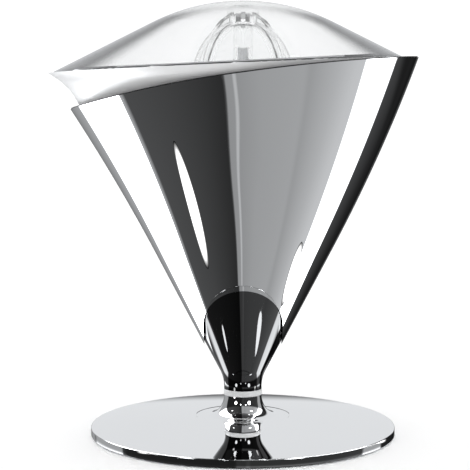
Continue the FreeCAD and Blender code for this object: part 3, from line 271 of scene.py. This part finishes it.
def addLamp(name, lamp):
    clearSelection()
    bpy.ops.mesh.primitive_circle_add(vertices=lampSides, radius=1, fill_type="NGON",
                                      location=(*lamp["centre"], lampRise))
    glowing = bpy.context.active_object
    glowing.name = name
    glowing.scale = (*lamp["half"], 1)
    glowing.rotation_euler[2] = math.radians(lamp["turn"])
    material, tree = newMaterial(name)
    place = tree.node("ShaderNodeTexCoord", output="Object")
    fromMiddle = tree.node("ShaderNodeVectorMath", {"operation": "LENGTH"}, {0: place}, output=1)
    strength = tree.between(fromMiddle, *lampEdge, lamp["strength"], 0.0)
    glow = tree.node("ShaderNodeEmission", {}, {"Color": grey(1), "Strength": strength})
    tree.node("ShaderNodeOutputMaterial", {}, {"Surface": glow})
    glowing.data.materials.append(material)
    glowing.visible_camera = False
    glowing.visible_diffuse = False
    glowing.visible_transmission = False
    glowing.visible_shadow = False


def addFloor():
    clearSelection()
    bpy.ops.mesh.primitive_circle_add(vertices=96, radius=studio["floorRadius"], fill_type="NGON",
                                      location=(0, 0, cadBox[0][2] - studio["floorDrop"]))
    floor = bpy.context.active_object
    floor.name = "floor"
    material, tree = newMaterial("paleFloor")
    tone = tree.mixColour(tree.noise(studio["floorGrain"]), grey(0.97), grey(0.99))
    finishMaterial(tree, {"Base Color": tone, "Roughness": 0.9, "Specular IOR Level": 0.0})
    floor.data.materials.append(material)
    floor.visible_glossy = False


# Modelling helpers

def clearSelection():
    if bpy.context.mode != "OBJECT":
        bpy.ops.object.mode_set(mode="OBJECT")
    bpy.ops.object.select_all(action="DESELECT")


def makeActive(piece):
    clearSelection()
    piece.select_set(True)
    bpy.context.view_layer.objects.active = piece


def selectAll():
    bpy.ops.mesh.select_all(action="SELECT")


def applyPlace():
    bpy.ops.object.transform_apply(location=True, rotation=True, scale=True)


def drawOut(x, y, z):
    bpy.ops.mesh.extrude_region_move(TRANSFORM_OT_translate={"value": (x, y, z)})


def closeUp():
    # leaves edit mode with all faces pointing outwards
    selectAll()
    bpy.ops.mesh.normals_make_consistent(inside=False)
    bpy.ops.object.mode_set(mode="OBJECT")


def keepPoints(piece, test):
    # leaves only the points whose place passes the test selected, in edit mode
    bpy.ops.mesh.select_mode(type="VERT")
    bpy.ops.mesh.select_all(action="DESELECT")
    bpy.ops.object.mode_set(mode="OBJECT")
    for point in piece.data.vertices:
        point.select = test(point.co)
    bpy.ops.object.mode_set(mode="EDIT")


def faceOutwards(piece):
    # the face farthest from the axis must look away from it
    closeUp()
    farthest = max(piece.data.polygons, key=lambda face: face.center.x ** 2 + face.center.y ** 2)
    inward = farthest.normal.x * farthest.center.x + farthest.normal.y * farthest.center.y < 0
    bpy.ops.object.mode_set(mode="EDIT")
    if inward:
        selectAll()
        bpy.ops.mesh.flip_normals()


def turnPiece(name, rings, steps, loop=False):
    # rings of (radius, height) or (radius, height, centre x) in millimetres,
    # each drawn out of the one before
    clearSelection()
    rings = [(*ring, 0)[:3] for ring in rings]
    rings = [(max(radius, tiny) * mm, height * mm, x * mm) for radius, height, x in rings]
    if loop:
        rings.append(rings[0])
    radius, height, x = rings[0]
    bpy.ops.mesh.primitive_circle_add(vertices=steps, radius=radius, location=(x, 0, height))
    piece = bpy.context.active_object
    piece.name = name
    applyPlace()
    bpy.ops.object.mode_set(mode="EDIT")
    selectAll()
    for nextRadius, nextHeight, nextX in rings[1:]:
        drawOut(nextX - x, 0, nextHeight - height)
        grow = nextRadius / radius
        bpy.ops.transform.resize(value=(grow, grow, 1), center_override=(nextX, 0, nextHeight))
        radius, height, x = nextRadius, nextHeight, nextX
    selectAll()
    bpy.ops.mesh.remove_doubles(threshold=samePoint * mm)
    faceOutwards(piece)
    bpy.ops.object.mode_set(mode="OBJECT")
    return piece


def useModifier(piece, kind, **settings):
    makeActive(piece)
    modifier = piece.modifiers.new(kind.lower(), kind)
    for name, value in settings.items():
        setattr(modifier, name, value)
    bpy.ops.object.modifier_apply(modifier=modifier.name)


def combine(piece, other, operation="DIFFERENCE"):
    useModifier(piece, "BOOLEAN", operation=operation, solver="EXACT", object=other)
    bpy.data.objects.remove(other)


def tiltPiece(piece, height, slope):
    # turns a piece drawn level about the origin into a plane that rises towards +X
    piece.rotation_euler[1] = -math.radians(slope)
    piece.location[2] = height * mm
    makeActive(piece)
    applyPlace()


def arc(centre, radius, start, end, count):
    # points of a round, by its centre, radius and the angles it starts and ends at
    angles = [math.radians(start + (end - start) * step / count) for step in range(count + 1)]
    return [(centre[0] + radius * math.cos(turn), centre[1] + radius * math.sin(turn)) for turn in angles]


def bowed(first, last, bow, count):
    # points from first to last that bulge sideways by bow in the middle
    width, rise = last[0] - first[0], last[1] - first[1]
    length = math.hypot(width, rise)
    points = []
    for step in range(count + 1):
        along = step / count
        out = 4 * bow * along * (1 - along)
        points.append((first[0] + width * along - out * rise / length,
                       first[1] + rise * along + out * width / length))
    return points


replaced = set()


def finishPiece(piece, slotName, body, *nodes, angle=30):
    makeActive(piece)
    bpy.ops.object.shade_smooth_by_angle(angle=math.radians(angle))
    piece.data.materials.clear()
    piece.data.materials.append(finishes[slotName])
    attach(piece, body)
    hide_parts(*nodes)
    replaced.update(nodes)


# Materials, one for each finish in the record
bumpDepth = 0.0002
chromeLook = {"cloud": 9.0, "wipe": 160.0, "drawn": (1, 1, 0.06), "wipeEdge": (0.35, 0.7),
              "gloss": (0.012, 0.03)}


def makeChrome(name, dark, light):
    material, tree = newMaterial(name)
    cloud = tree.noise(chromeLook["cloud"], 2.0)
    wipe = tree.noise(chromeLook["wipe"], 4.0, chromeLook["drawn"])
    tone = tree.mixColour(cloud, grey(dark), grey(light))
    gloss = tree.between(wipe, *chromeLook["wipeEdge"], *chromeLook["gloss"])
    finishMaterial(tree, {"Base Color": tone, "Metallic": 1.0, "Roughness": gloss})
    return material


satin = {"brush": 420.0, "drawn": (1, 1, 9), "cloud": 14.0, "dark": (0.78, 0.785, 0.79, 1),
         "light": (0.82, 0.825, 0.83, 1), "brushEdge": (0.3, 0.7), "gloss": (0.34, 0.42),
         "metal": 0.18, "bump": 0.05, "bumpDepth": 0.0001}


def makeBowlSteel():
    material, tree = newMaterial("bowlSteel")
    brush = tree.noise(satin["brush"], 3.0, satin["drawn"])
    tone = tree.mixColour(tree.noise(satin["cloud"]), satin["dark"], satin["light"])
    gloss = tree.between(brush, *satin["brushEdge"], *satin["gloss"])
    finishMaterial(tree, {"Base Color": tone, "Metallic": satin["metal"], "Roughness": gloss,
                          "Normal": tree.bump(brush, satin["bump"], satin["bumpDepth"])})
    return material


# painted shade on clear walls seen edge-on: start and end of the darkening by how edge-on the wall is seen,
# and the heights between which it stops
lidShadedEdge = {"start": 0.69, "end": 0.80, "full": 0.312, "none": 0.323, "dark": 0.02}
reamerShadedEdge = {"start": 0.66, "end": 0.92, "full": 1, "none": 2, "dark": 0.03}
clearLook = {"cloud": 30.0, "wipe": 220.0, "wipeEdge": (0.4, 0.7), "lighter": 0.01, "hazier": 0.015,
             "ior": 1.49, "edgeBlend": 0.5}


def makeClear(name, tint, haze, bumpiness, edge=None):
    material, tree = newMaterial(name)
    cloud = tree.noise(clearLook["cloud"], 2.0)
    light = tuple(min(1.0, part + clearLook["lighter"]) for part in tint[:3]) + (1,)
    tone = tree.mixColour(cloud, tint, light)
    if edge:
        # painted shade: the base colour turns dark where the wall is seen edge-on, below the given heights
        grazing = tree.node("ShaderNodeLayerWeight", {}, {"Blend": clearLook["edgeBlend"]}, output="Facing")
        rise = tree.split(tree.node("ShaderNodeTexCoord", output="Object"))[2]
        low = tree.between(rise, edge["full"], edge["none"], 1.0, 0.0)
        paintedEdgeShade = tree.between(grazing, edge["start"], edge["end"]) * low
        tone = tree.mixColour(paintedEdgeShade, tone, grey(edge["dark"]))
    wipe = tree.noise(clearLook["wipe"])
    gloss = tree.between(wipe, *clearLook["wipeEdge"], haze, haze + clearLook["hazier"])
    finishMaterial(tree, {"Base Color": tone, "Roughness": gloss, "IOR": clearLook["ior"],
                          "Transmission Weight": 1.0, "Normal": tree.bump(cloud, bumpiness, bumpDepth)})
    return material


plainLook = {"cloud": 25.0, "grainEdge": (0.3, 0.7), "gloss": (0.85, 1.15)}


def makePlain(name, tint, rough, metal=0.0, grain=400.0, depth=0.1, spread=0.12, stretch=(1, 1, 1)):
    material, tree = newMaterial(name)
    fine = tree.noise(grain, 4.0, stretch)
    wide = tree.noise(plainLook["cloud"])
    dark = tuple(part * (1 - spread) for part in tint) + (1,)
    light = tuple(min(1.0, part * (1 + spread)) for part in tint) + (1,)
    tone = tree.mixColour(wide, dark, light)
    gloss = tree.between(fine, *plainLook["grainEdge"], *(rough * share for share in plainLook["gloss"]))
    finishMaterial(tree, {"Base Color": tone, "Metallic": metal, "Roughness": gloss,
                          "Normal": tree.bump(fine, depth, bumpDepth)})
    return material


finishes = {
    "mirror_chrome": makeChrome("mirrorChrome", 0.91, 0.94),
    # the stem core's chrome is made far darker than the shell's, so the core reads dark inside the arch
    "dark_chrome": makeChrome("darkChrome", 0.11, 0.135),
    "bowl_steel": makeBowlSteel(),
    # the lid and the reamer carry painted shade along their walls where these are seen edge-on
    "clear_acrylic": makeClear("clearAcrylic", (0.985, 0.988, 0.99, 1), 0.0, 0.002, lidShadedEdge),
    "clear_reamer": makeClear("clearReamer", (0.97, 0.975, 0.975, 1), 0.004, 0.01, reamerShadedEdge),
    "strainer_plastic": makeClear("frostedPlastic", (0.93, 0.94, 0.945, 1), 0.28, 0.05),
    "black_plastic": makePlain("blackPlastic", (0.028, 0.028, 0.029), 0.42, grain=900.0, depth=0.12),
    "gear_nylon": makePlain("naturalNylon", (0.80, 0.78, 0.70), 0.38, spread=0.04),
    "plain_steel": makePlain("zincSteel", (0.62, 0.63, 0.65), 0.3, 1.0, 300.0, 0.08, 0.08, (1, 1, 7)),
    "ballast_iron": makePlain("castIron", (0.12, 0.12, 0.125), 0.6, 0.9, 260.0, 0.5, 0.25),
    "brass": makePlain("turnedBrass", (0.78, 0.60, 0.28), 0.25, 1.0, 500.0, 0.05, 0.06, (1, 1, 12)),
    "black_rubber": makePlain("blackRubber", (0.02, 0.02, 0.02), 0.7, grain=1200.0, depth=0.25),
    "board_green": makePlain("boardGreen", (0.02, 0.16, 0.07), 0.35, grain=150.0, depth=0.05, spread=0.2),
    "grey_plastic": makePlain("greyPlastic", (0.30, 0.30, 0.31), 0.5, grain=700.0, depth=0.1),
}
print("materials ready")

# The leaning cone that shell, core, cradle and bowl all follow
cone = {"apex": 12.6, "slope": 0.522, "leanStart": 140.0, "leanRate": 0.00057}


def coneRadius(height):
    return cone["slope"] * (height - cone["apex"])


def coneCentre(height):
    return -cone["leanRate"] * max(height - cone["leanStart"], 0) ** 2


def smoothTable(table, height):
    # a smooth curve through a table of (height, first, second)
    heights = [row[0] for row in table]
    spot = min(max(sum(1 for level in heights if level <= height) - 1, 0), len(table) - 2)
    low, high = table[spot], table[spot + 1]
    before, after = table[max(spot - 1, 0)], table[min(spot + 2, len(table) - 1)]
    span = high[0] - low[0]
    along = (height - low[0]) / span
    square, cube = along ** 2, along ** 3
    values = []
    for column in (1, 2):
        leave = span * (high[column] - before[column]) / (high[0] - before[0])
        arrive = span * (after[column] - low[column]) / (after[0] - low[0])
        values.append((2 * cube - 3 * square + 1) * low[column] + (cube - 2 * square + along) * leave
                      + (3 * square - 2 * cube) * high[column] + (cube - square) * arrive)
    return values


# Shell: the big mirror cone, cut by the sloping rim above and the arch below
shell = {"start": 62, "top": 288, "step": 4, "sides": 384, "sheet": 0.8,
         "rimLow": (-128.11, 245.8), "rimMid": (0, 272.8), "rimHigh": (129.9, 284.1),
         "bowLeft": 2.6, "bowRight": 1.65, "rimSteps": 24, "rimReach": 230,
         "archRadius": 29.5, "archCentre": 86.5, "archFoot": (28.1, 2.0), "archSides": 192, "archReach": 200}


def rimBlock():
    reach, steps = shell["rimReach"], shell["rimSteps"]
    path = [(-reach, shell["rimLow"][1])] + bowed(shell["rimLow"], shell["rimMid"], shell["bowLeft"], steps)
    path += bowed(shell["rimMid"], shell["rimHigh"], shell["bowRight"], steps)[1:]
    path += [(reach, shell["rimHigh"][1])]
    clearSelection()
    bpy.ops.mesh.primitive_plane_add(size=2 * reach * mm, rotation=(0, math.pi / 2, 0),
                                     location=(path[0][0] * mm, 0, (path[0][1] + reach) * mm))
    block = bpy.context.active_object
    applyPlace()
    bpy.ops.object.mode_set(mode="EDIT")
    selectAll()
    for (x, height), (nextX, nextHeight) in zip(path, path[1:]):
        drawOut((nextX - x) * mm, 0, (nextHeight - height) * mm)
    closeUp()
    return block


def archBlock():
    centre, reach = shell["archCentre"] * mm, shell["archReach"] * mm
    clearSelection()
    bpy.ops.mesh.primitive_circle_add(vertices=shell["archSides"], radius=shell["archRadius"] * mm,
                                      rotation=(math.pi / 2, 0, 0), location=(0, -reach, centre))
    block = bpy.context.active_object
    applyPlace()
    bpy.ops.object.mode_set(mode="EDIT")
    hair = samePoint * mm / 2
    keepPoints(block, lambda place: place.z < centre - hair)
    bpy.ops.mesh.delete(type="VERT")
    keepPoints(block, lambda place: place.z < centre + hair)
    drawOut(0, 0, shell["archFoot"][1] * mm - centre)
    narrow = shell["archFoot"][0] / shell["archRadius"]
    bpy.ops.transform.resize(value=(narrow, 1, 1), center_override=(0, 0, 0))
    selectAll()
    bpy.ops.mesh.edge_face_add()
    selectAll()
    drawOut(0, 2 * reach, 0)
    closeUp()
    return block


def makeShell():
    count = int((shell["top"] - shell["start"]) / shell["step"])
    heights = [shell["start"] + (shell["top"] - shell["start"]) * step / count for step in range(count + 1)]
    piece = turnPiece("coneShell", [(coneRadius(z), z, coneCentre(z)) for z in heights], shell["sides"])
    useModifier(piece, "SOLIDIFY", thickness=shell["sheet"] * mm, offset=-1, use_even_offset=True)
    combine(piece, rimBlock())
    combine(piece, archBlock())
    finishPiece(piece, "mirror_chrome", "root", "outer_shell")


# Stem: core seen inside the arch, neck ring and foot
core = {"foot": (14.2, 34.5), "blendCentre": (41.1, 36.27), "blend": 26.9, "blendEnd": 152.435,
        "blendSteps": 14, "rise": 3, "coneSteps": 18, "inset": 1.6, "wall": 2.0, "top": 122,
        "floor": 42.5, "bore": 5.05, "sides": 320}


def makeCore():
    centre, blend, count = core["blendCentre"], core["blend"], core["coneSteps"]
    rings = [core["foot"]] + arc(centre, blend, 180, core["blendEnd"], core["blendSteps"])
    start = rings[-1][1] + core["rise"]
    heights = [start + (core["top"] - start) * step / count for step in range(count + 1)]
    rings += [(coneRadius(z) - core["inset"], z) for z in heights]
    rings += [(coneRadius(z) - core["inset"] - core["wall"], z) for z in reversed(heights)]
    sine = (core["floor"] - centre[1]) / blend
    rings += [(centre[0] - blend * math.sqrt(1 - sine ** 2) - core["wall"], core["floor"]),
              (core["bore"], core["floor"]), (core["bore"], core["foot"][1])]
    finishPiece(turnPiece("stemCore", rings, core["sides"], loop=True), "dark_chrome", "root", "stem_core")


ring = {"bore": 7.0, "radius": 14.4, "low": 30.0, "high": 34.5, "round": 0.6, "roundSteps": 6, "sides": 192}


def makeRing():
    curve, steps = ring["round"], ring["roundSteps"]
    rings = [(ring["bore"], ring["low"])]
    rings += arc((ring["radius"] - curve, ring["low"] + curve), curve, -90, 0, steps)
    rings += arc((ring["radius"] - curve, ring["high"] - curve), curve, 0, 90, steps)
    rings += [(ring["bore"], ring["high"])]
    finishPiece(turnPiece("neckRing", rings, ring["sides"], loop=True), "bowl_steel", "root", "neck_ring")


foot = {"bore": 7.0, "low": 13.0, "edge": (35.3, 13.9), "toeCentre": (28.22, 27.68), "toe": 13.5,
        "toeStart": 264.9, "toeEnd": 205.0, "toeSteps": 20, "flareCentre": (33.2, 30.0), "flare": 19.0,
        "flareSteps": 12, "sides": 320,
        "glandHeight": 22.0, "gland": 5.15, "glandDepth": 60, "glandSides": 64}


def makeFoot():
    rings = [(foot["bore"], foot["low"]), (foot["edge"][0], foot["low"]), foot["edge"]]
    rings += arc(foot["toeCentre"], foot["toe"], foot["toeStart"], foot["toeEnd"], foot["toeSteps"])
    rings += arc(foot["flareCentre"], foot["flare"], foot["toeEnd"], 180, foot["flareSteps"])[1:]
    rings += [(foot["bore"], foot["flareCentre"][1])]
    piece = turnPiece("footCasting", rings, foot["sides"], loop=True)
    clearSelection()
    depth = foot["glandDepth"] * mm
    bpy.ops.mesh.primitive_cylinder_add(vertices=foot["glandSides"], radius=foot["gland"] * mm, depth=depth,
                                        rotation=(math.pi / 2, 0, 0),
                                        location=(0, depth / 2, foot["glandHeight"] * mm))
    combine(piece, bpy.context.active_object)
    finishPiece(piece, "mirror_chrome", "root", "stem_foot")


# Base disc
disc = {"radius": 115.0, "low": 1.5, "rim": 7.0, "round": 0.8, "roundSteps": 8, "inner": (35.6, 14.1),
        "bow": 0.55, "bowSteps": 24, "recess": 13.0, "bore": 5.05, "sheet": 1.5, "sides": 384}


def makeDisc():
    low, rim, curve, radius, sheet = (disc[name] for name in ("low", "rim", "round", "radius", "sheet"))
    (inner, innerHeight), recess, bore = disc["inner"], disc["recess"], disc["bore"]
    rings = [(radius, low)]
    rings += arc((radius - curve, rim - curve), curve, 0, 90, disc["roundSteps"])
    rings += bowed((radius - curve, rim), disc["inner"], -disc["bow"], disc["bowSteps"])[1:]
    rings += [(inner, recess), (bore, recess), (bore, recess - sheet), (inner + sheet, recess - sheet),
              (inner + sheet, innerHeight - sheet), (radius - sheet, rim - sheet), (radius - sheet, low)]
    piece = turnPiece("coverDisc", rings, disc["sides"], loop=True)
    finishPiece(piece, "mirror_chrome", "root", "base_cover")


# Bowl: its wall is a table of height, gap to the cone and shift of the centre
bowl = {"floor": 222, "floorStart": 40, "sheet": 1.0, "rim": 279.3, "tilt": 2.6, "rimLowest": 270,
        "chimney": 12.0, "chimneyStep": 251.0, "neck": 7.0, "neckTop": 262.0, "sides": 320,
        "mouthCentre": -11.8, "mouth": 125.67,
        "wall": [(222, 21, 1.5), (225, 15.9, 1.6), (235, 8.6, 1.6), (249, 6.6, 2.0), (258.5, 7.6, 1.3),
                 (266, 7.1, -0.65), (272, 5.5, -3.85), (279, 4.7, -6.0), (286, 3.9, -8.2)],
        "levels": [222, 222.7, 223.6, 224.7, 226.2, 228, 230.5, 233, 236, 239, 243, 247, 251, 255, 258.5,
                   261.5, 264, 266, 268, 270, 272, 274, 276.5, 279, 281.5, 284, 286]}


def makeBowl():
    floor = bowl["floor"]
    rings = [(bowl["neck"], bowl["neckTop"]), (bowl["neck"], bowl["chimneyStep"]),
             (bowl["chimney"], bowl["chimneyStep"]), (bowl["chimney"], floor), (bowl["floorStart"], floor)]
    for height in bowl["levels"]:
        gap, shift = smoothTable(bowl["wall"], height)
        rings.append((coneRadius(height) - gap, height, coneCentre(height) + shift))
    piece = turnPiece("bowlWall", rings, bowl["sides"])
    slope = math.radians(bowl["tilt"])
    normal = (-math.sin(slope), 0, math.cos(slope))
    height, lowest, hair = bowl["rim"] * mm, bowl["rimLowest"] * mm, tiny * mm

    def onRim(place):
        return abs(normal[0] * place.x + normal[2] * (place.z - height)) < hair and place.z > lowest

    bpy.ops.object.mode_set(mode="EDIT")
    selectAll()
    bpy.ops.mesh.bisect(plane_co=(0, 0, height), plane_no=normal, clear_outer=True)
    bpy.ops.object.mode_set(mode="OBJECT")
    rim = [point.co.x for point in piece.data.vertices if onRim(point.co)]
    middle = (min(rim) + max(rim)) / 2
    # the lip: the rim is drawn in to the round mouth that the lid sits on
    bpy.ops.object.mode_set(mode="EDIT")
    keepPoints(piece, onRim)
    drawOut(0, 0, 0)
    narrow = 2 * bowl["mouth"] * mm / (max(rim) - min(rim))
    bpy.ops.transform.resize(value=(narrow, narrow, narrow),
                             center_override=(middle, 0, height + middle * math.tan(slope)))
    shift = bowl["mouthCentre"] * mm - middle
    bpy.ops.transform.translate(value=(shift, 0, shift * math.tan(slope)))
    faceOutwards(piece)
    bpy.ops.object.mode_set(mode="OBJECT")
    useModifier(piece, "SOLIDIFY", thickness=bowl["sheet"] * mm, offset=-1, use_even_offset=True)
    finishPiece(piece, "bowl_steel", "bowl", "juice_bowl")


# Lid: a shallow cone with a round crown, cut off along the bowl's rim
lid = {"skirt": 148.0, "slopeHeight": 343.74, "slope": 0.5008, "slopeSteps": 14, "turn": 67.16,
       "round": 150.0, "roundCentre": 175.98, "roundSteps": 36, "wall": 2.0, "sides": 320,
       "lipInner": 123.37, "lipOuter": 125.37, "lipDown": -3.0, "lipUp": 1.0}


def makeLid():
    steps, turns, middle = lid["slopeSteps"], lid["roundSteps"], (0, lid["roundCentre"])
    crown = math.degrees(math.acos(lid["turn"] / lid["round"]))
    radii = [lid["skirt"] + (lid["turn"] - lid["skirt"]) * step / steps for step in range(steps)]
    outside = [(radius, lid["slopeHeight"] - lid["slope"] * radius) for radius in radii]
    outside += arc(middle, lid["round"], crown, 90, turns)
    small = lid["round"] - lid["wall"]
    inside = [(0, lid["roundCentre"] + small)] + arc(middle, small, 90, crown, turns)[1:]
    last = inside[-1][0]
    radii = [last + (lid["skirt"] - last) * step / steps for step in range(1, steps + 1)]
    drop = lid["wall"] * math.sqrt(1 + lid["slope"] ** 2)
    inside += [(radius, lid["slopeHeight"] - drop - lid["slope"] * radius) for radius in radii]
    piece = turnPiece("lidDome", outside + inside, lid["sides"], loop=True)
    clearSelection()
    bpy.ops.mesh.primitive_cube_add(size=1, location=(0, 0, -0.5))
    under = bpy.context.active_object
    applyPlace()
    tiltPiece(under, bowl["rim"], bowl["tilt"])
    combine(piece, under)
    lip = [(lid[radius], lid[level], bowl["mouthCentre"])
           for radius, level in (("lipInner", "lipDown"), ("lipOuter", "lipDown"),
                                 ("lipOuter", "lipUp"), ("lipInner", "lipUp"))]
    band = turnPiece("lidLip", lip, lid["sides"], loop=True)
    tiltPiece(band, bowl["rim"], bowl["tilt"])
    combine(piece, band, "UNION")
    finishPiece(piece, "clear_acrylic", "lid", "dome_lid")


# Reamer: a hollow bell with eight fins, a plain crown and a socket for the shaft
reamer = {"base": 265.5, "bell": 38.5, "top": 311.0, "knee": 27.0, "crownRound": 34.5, "sideRound": 50.3,
          "sideSteps": 18, "crownSteps": 14, "wall": 3.0, "skirt": 43.0, "skirtThick": 2.0, "sides": 192,
          "fins": 8, "finThick": 3.4, "finReach": 41.5, "finTop": 323.0, "finTip": 7.0, "finRound": 53.0,
          "finSteps": 20, "shoulder": (12.0, 316.5), "crown": 11.5, "crownTop": 321.5, "hub": 7.0,
          "socket": 4.05, "socketTop": 290.5, "socketSides": 64, "cutBelow": 1, "smooth": 24}


def roundBetween(first, last, radius, count):
    # a round of this radius from first to last, bulging away from the axis
    across, up = last[0] - first[0], last[1] - first[1]
    chord = math.hypot(across, up)
    reach = math.sqrt(radius ** 2 - chord ** 2 / 4)
    centre = ((first[0] + last[0]) / 2 - reach * up / chord,
              (first[1] + last[1]) / 2 + reach * across / chord)
    start = math.degrees(math.atan2(first[1] - centre[1], first[0] - centre[0]))
    end = math.degrees(math.atan2(last[1] - centre[1], last[0] - centre[0]))
    return arc(centre, radius, start, end, count)


def bellOutline(inset):
    brow = reamer["base"] + reamer["skirtThick"]
    crown = reamer["crownRound"] - inset
    knee = reamer["knee"] * crown / reamer["crownRound"]
    middle = reamer["top"] - reamer["crownRound"]
    kneeHeight = middle + math.sqrt(crown ** 2 - knee ** 2)
    side = roundBetween((reamer["bell"] - inset, brow), (knee, kneeHeight), reamer["sideRound"] - inset,
                        reamer["sideSteps"])
    inner = reamer["hub"] if inset else reamer["crown"]
    innerHeight = middle + math.sqrt(crown ** 2 - inner ** 2)
    return side + roundBetween((knee, kneeHeight), (inner, innerHeight), crown, reamer["crownSteps"])[1:]


def finPlate():
    # one plate carries two opposite fins
    reach, base = reamer["finReach"], reamer["base"]
    half = [(reach, base)]
    half += roundBetween((reach, base + reamer["skirtThick"]), reamer["shoulder"], reamer["finRound"],
                         reamer["finSteps"])
    half += [(reamer["finTip"], reamer["finTop"])]
    clearSelection()
    bpy.ops.mesh.primitive_plane_add(size=2 * reach * mm, location=(0, 0, base * mm))
    plate = bpy.context.active_object
    plate.scale[1] = reamer["finThick"] / (2 * reach)
    applyPlace()
    bpy.ops.object.mode_set(mode="EDIT")
    selectAll()
    for (radius, height), (nextRadius, nextHeight) in zip(half, half[1:]):
        drawOut(0, 0, (nextHeight - height) * mm)
        bpy.ops.transform.resize(value=(nextRadius / radius, 1, 1), center_override=(0, 0, nextHeight * mm))
    closeUp()
    return plate


def makeReamer():
    base, brow = reamer["base"], reamer["base"] + reamer["skirtThick"]
    rings = [(0, base), (reamer["skirt"], base), (reamer["skirt"], brow)] + bellOutline(0)
    rings += [(reamer["crown"], reamer["crownTop"]), (0, reamer["crownTop"])]
    piece = turnPiece("reamerCone", rings, reamer["sides"])
    for turn in range(reamer["fins"] // 2):
        plate = finPlate()
        plate.rotation_euler[2] = 2 * math.pi * turn / reamer["fins"]
        applyPlace()
        combine(piece, plate, "UNION")
    low = base - reamer["cutBelow"]
    hollow = [(reamer["hub"], low), (reamer["bell"] - reamer["wall"], low)] + bellOutline(reamer["wall"])
    combine(piece, turnPiece("hollow", hollow, reamer["sides"], loop=True))
    socket = [(0, low), (reamer["socket"], low), (reamer["socket"], reamer["socketTop"]),
              (0, reamer["socketTop"])]
    combine(piece, turnPiece("socket", socket, reamer["socketSides"]))
    finishPiece(piece, "clear_reamer", "reamer", "reamer", angle=reamer["smooth"])


makers = {"shell": makeShell, "core": makeCore, "ring": makeRing, "foot": makeFoot, "disc": makeDisc,
          "bowl": makeBowl, "reamer": makeReamer, "lid": makeLid}
for name, maker in makers.items():
    maker()
    print(name, "made")

# The CAD nodes that stay take the material of their own finish
for part in frame["record"]["subparts"]:
    if part["node"] in replaced:
        continue
    node = frame["nodes"][part["node"]]
    node.data.materials.clear()
    node.data.materials.append(finishes[part["material_slot"]])
print("frame nodes finished")

addWorld()
addFloor()
for name, lamp in lamps.items():
    addLamp(name, lamp)
addCamera()
